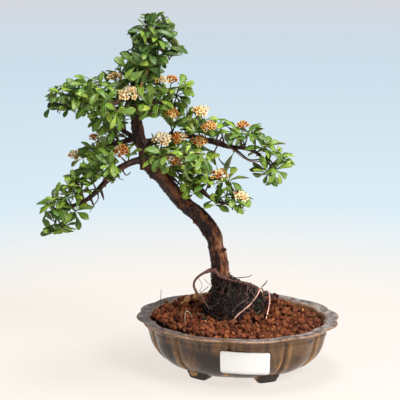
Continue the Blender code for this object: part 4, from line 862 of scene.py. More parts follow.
@dataclass(frozen=True)
class GlazeFinish:
    """Streaked glaze: slate panels, golden-brown ridges and rim edge, blue-grey lip."""

    turning: float = 0.040
    turned: float = 0.125
    slate: Colour = (0.034, 0.020, 0.015)
    brown: Colour = (0.150, 0.064, 0.024)
    gold: Colour = (0.440, 0.230, 0.085)
    olive: Colour = (0.225, 0.115, 0.045)
    lip: Colour = (0.170, 0.148, 0.146)
    lip_dark: Colour = (0.080, 0.058, 0.048)
    # Pale lip: partly pale glaze, partly a painted highlight of the lip's glossy top.
    lip_pale_and_highlight: Colour = (0.360, 0.325, 0.300)
    rim: Colour = (0.200, 0.095, 0.055)
    rim_pale: Colour = (0.470, 0.275, 0.150)
    ochre: Colour = (0.460, 0.235, 0.090)

    def make(self) -> bpy.types.Material:
        """Notes hold ridges, the nearness to a panel's edge, the lip's top and the lip's edge.

        Towards the +x end the glaze turns from slate to olive brown and its lip grows paler, partly the glaze's own
        colour and partly painted light on the key lamp's side.

        Returns:
            The material.
        """
        easel = Easel("glaze")
        notes = easel.notes()
        streaks = easel.cloud(120.0, 5.0, (1.0, 1.0, 0.22), 0.65)
        pools = easel.cloud(34.0, 4.0)
        runs = easel.cloud(75.0, 5.0, (1.0, 1.0, 0.22))
        speckle = easel.cloud(700.0, 3.0)
        uneven = easel.times(easel.less(streaks, 0.5), 1.5)
        edge = easel.sum("ADD01", notes["second"], uneven)
        x, _, z = easel.node("SeparateXYZ", 0, {0: easel.where}).node.outputs
        # Towards +x: olive glaze and a paler lip, partly real colour and partly painted light on the lit side.
        olive_and_lit_end = easel.times(easel.span(x, self.turning, self.turned), 0.75)
        panel = easel.blend(olive_and_lit_end, self.slate, self.olive)
        wall = easel.blend(easel.span(edge, 0.25, 0.85), panel, self.brown)
        wall = easel.blend(easel.span(runs, 0.48, 0.70), wall, easel.blend(0.38, self.brown, self.gold))
        wall = easel.blend(easel.times(easel.span(pools, 0.46, 0.58), 0.75), wall, self.slate)
        high = easel.times(easel.span(z, 30.0 * MM, 42.0 * MM), 0.70)
        drips = easel.times(high, easel.span(streaks, 0.36, 0.60))
        wall = easel.blend(drips, wall, easel.blend(0.30, self.brown, self.gold))
        ridge = easel.sum("MULTIPLY01", notes["first"], easel.span(streaks, 0.28, 0.60))
        wall = easel.blend(ridge, wall, self.gold)
        # Lip top: dark, plain and pale glaze in streaks, the pale partly a painted highlight.
        top = easel.ramp(
            easel.plus(easel.times(streaks, 0.6), easel.times(speckle, 0.4)),
            (0.38, self.lip_dark), (0.52, self.lip), (0.68, self.lip_pale_and_highlight),
        )
        top = easel.blend(easel.times(easel.span(pools, 0.50, 0.62), 0.50), top, self.brown)
        top = easel.blend(easel.times(olive_and_lit_end, easel.span(streaks, 0.40, 0.62)), top, self.lip_pale_and_highlight)
        colour = easel.blend(notes["third"], wall, top)
        line = easel.sum("MULTIPLY01", notes["fourth"], easel.span(streaks, 0.25, 0.62))
        rim = easel.blend(easel.span(speckle, 0.4, 0.6), self.rim, self.rim_pale)
        colour = easel.blend(line, colour, rim)
        foot = easel.less(1.0, easel.span(z, 6.5 * MM, 8.0 * MM))
        spots = easel.span(easel.cloud(95.0, 1.0), 0.56, 0.60)
        colour = easel.blend(foot, colour, easel.blend(spots, self.slate, self.ochre))
        easel.dress(base_color=colour, roughness=0.22, specular_ior_level=0.36)
        easel.dress(coat_weight=0.10, coat_roughness=0.08)
        easel.emboss(speckle, 0.10, 0.15 * MM)
        easel.emboss(pools, 0.35, 1.2 * MM)
        return easel.material


@dataclass(frozen=True)
class PlainFinish:
    """A finish of one colour with a fine mottle and grain."""

    name: str
    colour: Colour
    shade: Colour
    roughness: float
    scale: float
    metallic: float = 0.0
    depth: float = 0.05 * MM

    def make(self) -> bpy.types.Material:
        """Return the material."""
        easel = Easel(self.name)
        cloud = easel.cloud(self.scale, 5.0)
        easel.dress(
            base_color=easel.blend(easel.span(cloud, 0.3, 0.7), self.shade, self.colour),
            roughness=self.roughness, metallic=self.metallic,
        )
        easel.emboss(cloud, 0.4, self.depth)
        return easel.material


@dataclass(frozen=True)
class BladeForm:
    """Outline and bend of a leaf, petal or sepal.

    Widths and heights are shares of the length or of the half width.
    """

    belly: float
    fold: float
    arch: float
    curl: float
    wave: float
    stations: tuple[float, ...] = (0.0, 0.20, 0.40, 0.57, 0.72, 0.85, 0.95, 1.0)
    lanes: int = 2
    blunt: float = 0.74
    foot: float = 0.07
    thickness: float = 0.32 * MM

    def half_width(self, share: float) -> float:
        """Return the outline's half width at a share of the length."""
        body = math.sin(math.pi * min(share, 1.0) ** self.belly)
        return max(self.foot * (1.0 - 0.6 * share), max(body, 0.0) ** self.blunt)

    def corners(
        self, base: Vector, along: Vector, upper: Vector, length: float, width: float,
        age: float, phase: float,
    ) -> tuple[list[list[Vector]], list[Note]]:
        """Return the rings of a blade and the notes on them.

        Args:
            base: where it starts.
            along: unit vector to its tip.
            upper: roughly the way that its upper face looks.
            length: from base to tip.
            width: at the widest place.
            age: 0 old to 1 new, kept in the fourth note.
            phase: where the waves of its edge start.
        """
        across = upper.cross(along).normalized()
        upper = along.cross(across).normalized()
        rings: list[list[Vector]] = []
        notes: list[Note] = []
        for share in self.stations:
            half = self.half_width(share) * width / 2.0
            rise = self.arch * math.sin(math.pi * share) - self.curl * share * share
            middle = base + along * (length * share) + upper * (length * rise)
            lanes = list(range(-self.lanes, self.lanes + 1))
            ring = []
            for side, order in ((1.0, lanes), (0.0, lanes[-2:0:-1])):
                for lane in order:
                    out = lane / self.lanes
                    reach = abs(out)
                    wave = self.wave * math.sin(9.0 * share + phase + 2.0 * out) * reach
                    height = (self.fold * reach + wave) * half
                    height += (side - 0.5) * self.thickness * (1.0 - reach ** 2)
                    ring.append(middle + across * (out * half) + upper * height)
                    notes.append((side if reach < 1.0 else 0.6, reach, share, age))
            rings.append(ring)
        return rings, notes


@dataclass
class Wood:
    """Trunk, branches, stubs, thick roots and the core of the root mound, grown as one skin."""

    site: Site
    voxel: float = 0.67 * MM
    steps: int = 6
    crumble: float = 3.2 * MM
    flake: float = 0.40 * MM
    flute: float = 1.3 * MM
    knobs: int = 46
    seed: int = 12
    thick: float = 6.0 * MM
    slim: float = 0.45
    cooling: float = 0.60
    batch: int = 8000

    def lines(self) -> list[list[Knot]]:
        """Return the middle lines of trunk, branches, roots and twigs, the trunk first."""
        tables = [TRUNK, *BRANCHES.values(), *SURFACE_ROOTS, *TWIGS]
        return [smooth_run(knots_of(table, self.site), self.steps) for table in tables]

    def stubs(self) -> list[list[Knot]]:
        """Return the stubs of cut twigs."""
        runs = []
        for place, way, length, radius in STUBS:
            start = self.site.spot(*place)
            reach = Vector(way).normalized() * length * MM
            reach *= 1.0 if radius < 1.2 else 0.86
            places = [start + reach * share for share in (0.0, 0.5, 0.8, 0.95)]
            runs.append(smooth_run(rod(places, [radius * size for size in (1.6, 1.25, 0.85, 0.4)]), 3))
        return runs

    def burls(self) -> list[list[Knot]]:
        """Return the knobs of healed wood and the broken spurs on the trunk.

        Returns:
            A run of knots for each.
        """
        rng = random.Random(self.seed)
        line = smooth_run(knots_of(TRUNK[1:20], self.site), 8)
        knobs = []
        for _ in range(self.knobs):
            knot = rng.choice(line)
            side = Vector([rng.gauss(0.0, 1.0), rng.gauss(-0.4, 1.0), rng.gauss(0.0, 0.5)]).normalized()
            size = rng.uniform(0.9, 2.2)
            start = knot.at + side * (knot.radius - size * MM * 0.9)
            tip = start + (side + UP * rng.uniform(-0.3, 0.4)) * size * MM * rng.uniform(1.1, 1.7)
            places = (start, start.lerp(tip, 0.55), tip)
            knobs.append(rod(places, (size, size * 0.85, size * 0.2)))
        for x, y, z, size in KNOBS:
            place = self.site.spot(x, y, z)
            nearest = min(line, key=lambda knot: (knot.at - place).length)
            out = (place - nearest.at).normalized()
            place = nearest.at + out * (nearest.radius + 0.3 * size * MM)
            places = [place + out * size * MM * share for share in (-2.0, -1.0, -0.3, 0.25)]
            knobs.append(rod(places, [size * girth for girth in (1.5, 1.15, 0.85, 0.35)]))
        return knobs

    def collars(self) -> list[list[Knot]]:
        """Return the short swellings where branches leave the trunk."""
        swollen = []
        for rows in BRANCHES.values():
            first, second = knots_of(rows[:2], self.site)
            tip = first.at.lerp(second.at, 0.75)
            swollen.append([Knot(first.at, first.radius * 1.55), Knot(tip, first.radius * 0.9)])
        return swollen

    def mound_rings(self, rows: int, sides: int) -> list[list[Vector]]:
        """Return the rough rings of the mound's core."""
        rings = []
        for row in range(rows):
            height = mixed(MOUND[0][0] + 2.0, MOUND[-1][0], row / (rows - 1))
            rings.append([
                mound_place(self.site, height, FULL_TURN * k / sides, 0.95) for k in range(sides)
            ])
        return rings

    def build(self, material: bpy.types.Material) -> bpy.types.Object:
        """Build the skin.

        Args:
            material: the bark.

        Returns:
            The finished piece.
        """
        bench = Bench()
        runs = self.lines()
        for k, run in enumerate(runs):
            trunk = k == 0
            bench.add_tube(run, 32 if trunk else 16, (0, 0, 0, 1), 0.16 if trunk else 0.22, 7.3 * k)
        for run in [*self.stubs(), *self.collars(), *self.burls()]:
            bench.add_tube(smooth_run(run, 3), 14, (0, 0, 0, 1), 0.15)
        rings = self.mound_rings(14, 36)
        bench.add_rings(rings, [(0, 0, 0, 1)] * (14 * 36))
        wood = bench.make("bark_and_roots", material)
        knit = wood.modifiers.new("knit", "REMESH")
        knit.mode = "VOXEL"
        knit.voxel_size = self.voxel
        mesh = settle(wood)
        self.weather(mesh, runs)
        mesh.shade_smooth()
        return wood

    def weather(self, mesh: bpy.types.Mesh, runs: list[list[Knot]]) -> None:
        """Roughen the skin and note girth and mound on it.

        Args:
            mesh: the skin.
            runs: the middle lines that it was knit round.
        """
        count = len(mesh.vertices)
        places, normals = np.zeros((2, count, 3), np.float32)
        mesh.vertices.foreach_get("co", places.ravel())
        mesh.vertices.foreach_get("normal", normals.ravel())
        line = np.array([tuple(knot.at) for run in runs for knot in run], np.float32)
        radii = np.array([knot.radius for run in runs for knot in run], np.float32)
        girth = np.zeros(count, np.float32)
        around = np.zeros((count, 3), np.float32)
        for start in range(0, count, self.batch):
            part = places[start:start + self.batch]
            gaps = np.sqrt(((part[:, None, :] - line[None, :, :]) ** 2).sum(axis=2))
            bearer = np.abs(gaps - radii[None, :]).argmin(axis=1)
            girth[start:start + self.batch] = radii[bearer] / self.thick
            around[start:start + self.batch] = (part - line[bearer]) / radii[bearer][:, None]
        top, foot = self.site.spot(0, 0, 93).z, self.site.spot(0, 0, 84).z
        push, mound, orange_and_lit_side = np.zeros((3, count), np.float32)
        for k in range(count):
            place = Vector(places[k])
            slim = girth[k] < self.slim
            mound[k] = 0.0 if slim else 1.0 - eased(place.z, foot, top)
            lump = noise.fractal(place * 190.0, 0.8, 2.2, 4)
            long = Vector((place.x * 520.0, place.y * 520.0, place.z * 170.0))
            scale = noise.noise(long) + 0.5 * noise.noise(long * 2.3)
            wild = self.crumble * (0.8 * lump + 0.35 * noise.noise(place * 700.0))
            flute = noise.noise(Vector(around[k]) * 1.9 + UP * place.z * 14.0)
            bark = self.flake * min(girth[k] * 1.3, 1.0) * (0.9 * scale + 0.5 * lump)
            bark += self.flute * girth[k] * flute
            push[k] = mixed(bark, wild, mound[k])
            low_down = 1.0 - self.cooling * eased(place.z, foot + 45.0 * MM, foot + 100.0 * MM)
            patch = 0.6 * noise.noise(place * 95.0) + 0.9 * flute + 0.4 * lump
            # Orange patches with painted light: faces that look towards +x, the key lamp's side, are painted more
            # orange; slim roots get their own pinkish colour.
            orange_and_lit_side[k] = eased(0.45 * normals[k][0] + 0.9 * patch, -0.45, 0.75) * low_down
            if slim:
                orange_and_lit_side[k] = 0.85 if place.z < top + 4.0 * MM else 0.1
        places += normals * push[:, None]
        mesh.vertices.foreach_set("co", places.ravel())
        notes = np.stack([np.clip(girth, 0.0, 1.0), mound, orange_and_lit_side, np.ones(count)], axis=1)
        layer = mesh.color_attributes.get("note")
        if layer is None:
            layer = mesh.color_attributes.new("note", "FLOAT_COLOR", "POINT")
        layer.data.foreach_set("color", notes.astype(np.float32).ravel())
        mesh.update()


def mound_place(site: Site, height: float, angle: float, proud: float = 1.0) -> Vector:
    """Return a place on the root mound, by height in millimetres and by angle."""
    height = min(max(height, MOUND[0][0]), MOUND[-1][0])
    for low, high in zip(MOUND, MOUND[1:]):
        if height <= high[0]:
            share = (height - low[0]) / (high[0] - low[0])
            _, x, y, length, width = [mixed(a, b, share) for a, b in zip(low, high)]
            break
    return site.spot(x + length * proud * math.cos(angle), y + width * proud * math.sin(angle), height)


@dataclass
class FineRoots:
    """Hair-thin to pencil-lead roots that wander over the mound and out over the soil."""

    site: Site
    count: int = 360
    hanging: int = 90
    stride: float = 2.7
    girth: float = 17.0
    lowest: float = 47.0
    highest: float = 91.0
    seed: int = 23
    dark: Colour = (0.006, 0.004, 0.003)
    brown: Colour = (0.038, 0.015, 0.010)
    pale: Colour = (0.200, 0.115, 0.100)

    def colour(self, rng: random.Random) -> Note:
        """Return a root's colour, mostly dark."""
        draw = rng.random()
        base = self.dark if draw < 0.50 else self.brown if draw < 0.84 else self.pale
        return tinted(base, rng.uniform(0.8, 1.3))

    def build(self, material: bpy.types.Material) -> bpy.types.Object:
        """Build all the roots as one piece.

        Args:
            material: its finish.

        Returns:
            The finished piece.
        """
        rng = random.Random(self.seed)
        bench = Bench()
        for k in range(self.count):
            height = rng.triangular(49.0, self.highest, 66.0)
            angle = rng.uniform(0.0, FULL_TURN)
            heading = rng.gauss(-0.5 * math.pi, 0.8)
            thick = rng.choice((0.14, 0.18, 0.22, 0.28, 0.36, 0.52)) * MM
            knots = []
            lift = rng.choice((0.0, 0.0, 0.04, 0.09, 0.16))
            for _ in range(rng.randint(5, 13)):
                proud = rng.uniform(0.97, 1.08) + lift
                knots.append(Knot(mound_place(self.site, height, angle, proud), thick))
                heading += rng.gauss(0.0, 0.55)
                height = min(height + self.stride * math.sin(heading), self.highest)
                angle += self.stride * math.cos(heading) / self.girth
                if height < self.lowest:
                    break
            if len(knots) < 3:
                continue
            bench.add_tube(smooth_run(knots, 4), 5, self.colour(rng), 0.25, 3.1 * k)
        bearer = smooth_run(knots_of(SURFACE_ROOTS[1][1:7], self.site), 8)
        for k in range(self.hanging):
            place = rng.choice(bearer).at + Vector((0.0, rng.uniform(-1.2, 3.0), 0.0)) * MM
            knots = []
            heading = Vector((rng.gauss(-0.25, 0.35), rng.gauss(-0.15, 0.3), -1.0))
            for _ in range(rng.randint(5, 9)):
                knots.append(Knot(place.copy(), rng.uniform(0.16, 0.42) * MM))
                heading += Vector((rng.gauss(0.0, 0.45), rng.gauss(0.0, 0.35), 0.0))
                place = place + heading.normalized() * rng.uniform(2.0, 3.4) * MM
                if place.z < 50.0 * MM:
                    break
            if len(knots) > 2:
                bench.add_tube(smooth_run(knots, 4), 5, self.colour(rng), 0.25, 5.3 * k)
        for colour, rows in LOOSE_ROOTS:
            bench.add_tube(smooth_run(knots_of(rows, self.site), 6), 6, tinted(colour), 0.25)
        return bench.make("fine_roots", material)


class PotPlan:
    """The lobed outline and the profile that every piece of the pot shares."""

    turn = math.radians(-8.0)
    roundness = 0.81
    notches = (0.0, 37.5, 65.5, 90.0)
    # Half length, height, notch depth, and how far ridges, lip top and lip edge show there
    profile: tuple[Row, ...] = (
        (50.0, 5.0, 0.020, 0.0, 0.0, 0.0), (56.0, 5.1, 0.022, 0.0, 0.0, 0.0),
        (60.5, 6.2, 0.026, 0.3, 0.0, 0.0), (66.0, 8.8, 0.031, 0.7, 0.0, 0.0),
        (70.6, 12.0, 0.035, 1.0, 0.0, 0.0), (75.0, 16.2, 0.038, 1.0, 0.0, 0.0),
        (78.4, 20.6, 0.040, 1.0, 0.0, 0.0), (80.8, 25.8, 0.040, 1.0, 0.0, 0.0),
        (82.3, 31.0, 0.040, 1.0, 0.0, 0.0), (83.2, 35.2, 0.040, 0.9, 0.0, 0.0),
        (84.1, 37.6, 0.040, 0.9, 0.0, 0.0), (84.5, 39.0, 0.040, 0.9, 0.0, 0.10),
        (84.2, 40.4, 0.040, 0.8, 0.0, 0.0), (84.4, 42.2, 0.040, 0.7, 0.05, 0.0),
        (85.6, 43.8, 0.039, 0.5, 0.05, 0.0), (87.8, 45.2, 0.038, 0.3, 0.05, 0.1),
        (90.6, 46.3, 0.037, 0.0, 0.0, 0.0), (92.8, 47.1, 0.036, 0.0, 0.1, 0.1),
        (94.0, 47.9, 0.035, 0.0, 0.2, 0.4), (94.6, 48.6, 0.035, 0.0, 0.5, 1.0),
        (94.2, 49.4, 0.033, 0.0, 0.9, 1.0), (93.0, 49.8, 0.033, 0.0, 1.0, 0.25),
        (91.0, 49.7, 0.033, 0.0, 1.0, 0.0), (87.5, 49.0, 0.031, 0.0, 1.0, 0.0),
        (84.6, 49.1, 0.030, 0.0, 1.0, 0.0), (83.2, 49.2, 0.030, 0.0, 1.0, 0.45),
        (82.0, 48.6, 0.030, 0.0, 0.4, 0.6), (81.0, 46.0, 0.030, 0.0, 0.0, 0.0),
        (79.0, 38.0, 0.030, 0.0, 0.0, 0.0),
        (76.4, 28.0, 0.030, 0.0, 0.0, 0.0), (73.4, 18.6, 0.030, 0.0, 0.0, 0.0),
        (69.0, 13.0, 0.025, 0.0, 0.0, 0.0), (62.0, 11.0, 0.020, 0.0, 0.0, 0.0),
    )

    @classmethod
    def starts(cls) -> list[float]:
        """Return the angles of the notches all the way round, from the front."""
        half = cls.notches + tuple(180.0 - angle for angle in reversed(cls.notches[:-1]))
        whole = half + tuple(360.0 - angle for angle in reversed(half[1:-1]))
        return [math.radians(angle) for angle in whole]

    @classmethod
    def edge(cls, site: Site, angle: float, half_length: float, height: float) -> Vector:
        """Return a place on a plain oval round the pot, turned with it, in millimetres."""
        x = half_length * math.sin(angle)
        y = -half_length * cls.roundness * math.cos(angle)
        turned = Matrix.Rotation(cls.turn, 3, "Z") @ Vector((x, y, height))
        return site.spot(*turned)


@dataclass
class Pot:
    """The glazed pot with its lobed wall, everted lip, cloud feet and drain holes."""

    site: Site
    steps: int = 22
    ridge_out: float = 1.5
    ridge_at: float = 3.3
    ridge_wide: float = 1.6
    inner_ridge: float = 0.45
    groove: float = 1.5
    foot_angles: tuple[float, ...] = (-33.0, 33.0, 147.0, 213.0)
    foot_half_length: float = 60.0
    foot_depth: tuple[float, float] = (0.80, 1.0)
    # Half of a foot's outline from the wall down: half width and height
    foot_curve: tuple[Row, ...] = (
        (13.4, 9.0), (13.3, 5.9), (12.8, 4.4), (11.8, 3.6), (10.9, 3.2), (10.6, 2.2), (9.8, 1.0),
        (8.4, 0.3), (7.0, 0.0), (2.0, 0.0),
    )
    hole_radius: float = 6.0
    hole_spacing: float = 56.0

    def profile(self) -> list[Row]:
        """Return the profile's rows with one more between each pair."""
        rows = PotPlan.profile
        fine: list[Row] = []
        for low, high in zip(rows, rows[1:]):
            fine += [low, tuple(mixed(a, b, 0.5) for a, b in zip(low, high))]
        fine.append(rows[-1])
        return fine

    def ring(self, row: Row) -> tuple[list[Vector], list[Note]]:
        """Return one turn of the wall and the notes on it.

        Args:
            row: a row of the profile.

        Returns:
            Its corners, and a note for each.
        """
        half_length, height, cusp, ridge, lip, edge = row
        starts = PotPlan.starts()
        ring, notes = [], []
        for k, start in enumerate(starts):
            end = starts[(k + 1) % len(starts)]
            if end <= start:
                end += FULL_TURN
            for step in range(self.steps):
                share = 0.5 - 0.5 * math.cos(math.pi * step / self.steps)
                angle = mixed(start, end, share)
                gap = min(share, 1.0 - share) * (end - start) * half_length * 0.92
                swell = math.exp(-(((gap - self.ridge_at) / self.ridge_wide) ** 2))
                outer = (math.sin(start) > 0.1) == (share < 0.5)
                swell *= 1.0 if outer else self.inner_ridge
                dip = math.exp(-((gap / 1.2) ** 2))
                size = half_length * (1.0 - cusp * (1.0 - math.sin(math.pi * share)))
                size += ridge * (self.ridge_out * swell - self.groove * dip)
                ring.append(PotPlan.edge(self.site, angle, size, height))
                near = max(swell, 0.35 * math.exp(-((gap / 9.0) ** 2)))
                notes.append((ridge * swell, ridge * near + 0.4 * dip, lip, edge))
        return ring, notes

    def feet(self, material: bpy.types.Material) -> list[bpy.types.Object]:
        """Build the scalloped feet, a little rounded at their front and back.

        Args:
            material: its finish.

        Returns:
            The feet, each an object of its own.
        """
        feet = []
        for index, angle in enumerate(self.foot_angles):
            outline = [(-x, z) for x, z in self.foot_curve] + list(self.foot_curve[::-1])
            rings = []
            inner, outer = self.foot_depth
            for depth, squeeze in ((0.0, 0.93), (0.06, 1.0), (0.9, 1.0), (0.97, 0.96), (1.0, 0.90)):
                ring = []
                for x, z in outline:
                    size = self.foot_half_length * mixed(inner, outer, depth)
                    turn = math.radians(angle) + squeeze * x / self.foot_half_length
                    ring.append(PotPlan.edge(self.site, turn, size, z + (1.0 - squeeze) * 6.0))
                rings.append(ring)
            bench = Bench()
            bench.add_rings(rings, [(0.25, 0.6, 0.0, 0.25)] * (len(rings) * len(outline)))
            feet.append(bench.make(f"foot_{index}", material))
        return feet

    def build(self, material: bpy.types.Material) -> bpy.types.Object:
        """Build the pot, cut its drain holes and join its feet.

        Args:
            material: its finish.

        Returns:
            The finished piece.
        """
        bench = Bench()
        rings, notes = [], []
        for row in self.profile():
            ring, ring_notes = self.ring(row)
            rings.append(ring)
            notes += ring_notes
        bench.add_rings(rings, notes)
        pot = bench.make("glazed_pot", material)
        for foot in self.feet(material):
            self.work(pot, foot, "UNION")
        for side in (-1.0, 1.0):
            middle = Vector((side * self.hole_spacing / 2, 0, 8))
            place = self.site.spot(*(Matrix.Rotation(PotPlan.turn, 3, "Z") @ middle))
            bpy.ops.mesh.primitive_cylinder_add(
                vertices=40, radius=self.hole_radius * MM, depth=30 * MM, location=place
            )
            self.work(pot, bpy.context.object, "DIFFERENCE")
        pot.data.set_sharp_from_angle(angle=math.radians(50.0))
        return pot

    @staticmethod
    def work(item: bpy.types.Object, tool: bpy.types.Object, kind: str) -> None:
        """Join or cut one solid with another, which is then removed.

        Args:
            item: the solid that is kept.
            tool: the other one.
            kind: UNION or DIFFERENCE.
        """
        joint = item.modifiers.new("work", "BOOLEAN")
        joint.operation = kind
        joint.object = tool
        joint.solver = "EXACT"
        settle(item)
        bpy.data.objects.remove(tool, do_unlink=True)


@dataclass
class Label:
    """A blank paper label with round corners, on the pot's front."""

    site: Site
    length: float = 45.0
    top: float = 37.0
    height: float = 20.5
    half_length: float = 83.8
    lean: float = 1.2
    middle: float = 10.0
    corner: float = 2.0
    tilt: float = 0.05
    thickness: float = 0.3

    def build(self, material: bpy.types.Material) -> bpy.types.Object:
        """Build the sheet from columns that shorten towards its corners.

        Args:
            material: its finish.

        Returns:
            The finished piece.
        """
        reaches = [0.0, 0.25, 0.6, 1.1, self.corner]
        middle = [mixed(self.corner, self.length - self.corner, k / 20.0) for k in range(1, 20)]
        columns = reaches + middle + [self.length - reach for reach in reversed(reaches)]
        rings = []
        for place in columns:
            near = min(place, self.length - place, self.corner)
            cut = self.corner - math.sqrt(max(self.corner ** 2 - (self.corner - near) ** 2, 0.0))
            angle = math.radians(self.middle) + (place - self.length / 2.0) / self.half_length
            ring = []
            for side, shares in ((1.0, range(9)), (-1.0, range(8, -1, -1))):
                for share in shares:
                    drop = mixed(cut, self.height - cut, share / 8.0)
                    ripple = 0.12 * math.sin(0.35 * place + 0.3 * drop)
                    size = self.half_length - self.lean * drop / self.height + ripple
                    size += side * self.thickness / 2.0
                    height = self.top - drop + self.tilt * (self.length / 2.0 - place)
                    ring.append(PotPlan.edge(self.site, angle, size, height))
            rings.append(ring)
        bench = Bench()
        bench.add_rings(rings, [(1.0, 1.0, 1.0, 1.0)] * (len(rings) * 18))
        return bench.make("paper_label", material)


@dataclass
class Soil:
    """A near-black bed, painted shade in the gaps between the grains, and the crushed grains that lie packed on it.
    """

    site: Site
    pitch: float = 4.9
    seed: int = 5
    crumbs: int = 300
    root_crumbs: int = 70
    earth: Colour = (0.022, 0.012, 0.009)
    loam: Colour = (0.115, 0.046, 0.028)
    reds: tuple[Colour, ...] = (
        (0.205, 0.058, 0.026), (0.160, 0.042, 0.020), (0.255, 0.076, 0.032), (0.100, 0.028, 0.015),
        (0.225, 0.085, 0.040), (0.290, 0.092, 0.034),
    )
    yellow: Colour = (0.740, 0.390, 0.150)
    # The bed's near-black colour is painted shade in the gaps between grains.
    dark: Colour = (0.026, 0.012, 0.009)

    @staticmethod
    def level(x: float, y: float) -> float:
        """Return the height of the soil in millimetres, heaped a little round the roots.

        Args:
            x: millimetres to the right.
            y: millimetres to the back.

        Returns:
            The height.
        """
        distance = math.hypot(x + 2.0, y / PotPlan.roundness)
        level = 46.8 + 5.5 * math.exp(-((distance / 46.0) ** 2)) - 2.4 * (x + y) / 95.0
        level += 1.6 * noise.noise(Vector((0.045 * x, 0.045 * y, 7.0)))
        for high, middle_x, middle_y, wide, deep in HEAPS:
            level += high * math.exp(-(((x - middle_x) / wide) ** 2 + ((y - middle_y) / deep) ** 2))
        return level

    @staticmethod
    def inside(x: float, y: float, margin: float) -> bool:
        """Tell whether a place lies inside the pot's wall by a margin in millimetres.

        Args:
            x: millimetres to the right.
            y: millimetres to the back.
            margin: how far from the wall.

        Returns:
            True where it does.
        """
        turned = Matrix.Rotation(-PotPlan.turn, 3, "Z") @ Vector((x, y, 0.0))
        angle = math.atan2(turned.x, -turned.y / PotPlan.roundness) % FULL_TURN
        starts = PotPlan.starts() + [FULL_TURN]
        for start, end in zip(starts, starts[1:]):
            if angle <= end:
                share = (angle - start) / (end - start)
                break
        half = 80.8 * (1.0 - 0.030 * (1.0 - math.sin(math.pi * share))) - margin
        return math.hypot(turned.x, turned.y / PotPlan.roundness) < half

    def in_mound(self, x: float, y: float, z: float, share: float) -> bool:
        """Tell whether a place in millimetres lies inside the root mound."""
        middle = self.site.local(mound_place(self.site, z, 0.0, 0.0))
        length = self.site.local(mound_place(self.site, z, 0.0)).x - middle.x
        width = self.site.local(mound_place(self.site, z, math.pi / 2.0)).y - middle.y
        return math.hypot((x - middle.x) / length, (y - middle.y) / width) < share

    def bed(self, material: bpy.types.Material) -> bpy.types.Object:
        """Build the soil under the grains.

        Args:
            material: its finish.

        Returns:
            The finished piece.
        """
        bench = Bench()
        sides = 96
        rings = []
        for share, height in ((0.74, 13.0), (0.93, 22.0), (0.985, 40.0)):
            turns = [FULL_TURN * k / sides for k in range(sides)]
            rings.append([PotPlan.edge(self.site, turn, 76.0 * share, height) for turn in turns])
        for step in range(1, 22):
            share = 1.0 - step / 22.0
            ring = []
            for turn in turns:
                x, y, _ = self.site.local(PotPlan.edge(self.site, turn, 76.6 * share, 0.0))
                bump = 1.1 * noise.noise(Vector((0.21 * x, 0.21 * y, 3.0)))
                ring.append(self.site.spot(x, y, self.level(x, y) - 2.6 + bump))
            rings.append(ring)
        # The bed is painted near-black, as shade between the grains.
        bench.add_rings(rings, [tinted(self.dark)] * (len(rings) * sides))
        return bench.make("soil_bed", material)

    def shapes(self, rng: random.Random) -> tuple[list[np.ndarray], list[tuple[int, ...]]]:
        """Return a few broken grain shapes of unit size, and the faces that all of them share.

        Args:
            rng: the draw that all grains share.

        Returns:
            The corners of each shape, and the faces.
        """
        bpy.ops.mesh.primitive_ico_sphere_add(subdivisions=2, radius=1.0)
        ball = bpy.context.object
        points = np.array([tuple(vertex.co) for vertex in ball.data.vertices])
        faces = [tuple(face.vertices) for face in ball.data.polygons]
        bpy.data.objects.remove(ball, do_unlink=True)
        shapes = []
        for _ in range(14):
            grain = points.copy()
            for _ in range(9):
                facet = np.array([rng.gauss(0, 1) for _ in range(3)])
                facet /= np.linalg.norm(facet)
                depth = rng.uniform(0.52, 0.86)
                over = np.maximum(grain @ facet - depth, 0.0)
                grain -= over[:, None] * facet[None, :]
            ranges = ((0.85, 1.2), (0.75, 1.05), (0.65, 0.95))
            grain *= np.array([[rng.uniform(low, high) for low, high in ranges]])
            shapes.append(grain)
        return shapes, faces

    def grains(self, material: bpy.types.Material) -> bpy.types.Object:
        """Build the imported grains, with a second loose layer over some of them.

        Args:
            material: its finish.

        Returns:
            The finished piece.
        """
        rng = random.Random(self.seed)
        shapes, faces = self.shapes(rng)
        bench = Bench()
        for layer, (pitch, keep, lift) in enumerate(((self.pitch, 1.0, -1.3), (5.6, 0.42, 1.2))):
            rows = int(150.0 / (pitch * 0.87))
            for row in range(rows):
                for column in range(int(190.0 / pitch)):
                    x = -95.0 + pitch * (column + 0.5 * (row % 2)) + rng.uniform(-0.9, 0.9)
                    y = -75.0 + pitch * 0.87 * row + rng.uniform(-0.9, 0.9)
                    size = rng.triangular(1.9, 4.1, 2.8)
                    if rng.random() > keep or not self.inside(x, y, size * (1.0 if layer else 0.85)):
                        continue
                    z = self.level(x, y) + lift + rng.uniform(-0.7, 0.7)
                    if self.in_mound(x, y, z, 0.93):
                        continue
                    self.drop(bench, rng, shapes, faces, (x, y, z), size)
        for x, y, z, size in YELLOW_STONES:
            height = max(z, self.level(x, y) + 1.0)
            self.drop(bench, rng, shapes, faces, (x, y, height), size, self.yellow)
        for _ in range(self.crumbs):
            height, angle = rng.triangular(46.0, 88.0, 50.0), rng.uniform(0.0, FULL_TURN)
            proud = rng.uniform(0.98, 1.12)
            spot = self.site.local(mound_place(self.site, height, angle, proud))
            z = max(spot.z, self.level(spot.x, spot.y) if height < 52.0 else 0.0)
            shade = self.earth if rng.random() < 0.62 else self.loam
            self.drop(bench, rng, shapes, faces, (spot.x, spot.y, z), rng.uniform(0.7, 2.5), shade)
        root = smooth_run(knots_of(SURFACE_ROOTS[1][:6], self.site), 6)
        for _ in range(self.root_crumbs):
            knot = rng.choice(root)
            lean = Vector((rng.gauss(0.0, 1.0), rng.uniform(-0.6, 1.0), rng.uniform(0.2, 1.0)))
            spot = self.site.local(knot.at + lean.normalized() * knot.radius * 1.1)
            self.drop(bench, rng, shapes, faces, tuple(spot), rng.uniform(0.4, 1.1), self.earth)
        return bench.make("soil_grains", material, smooth=False)

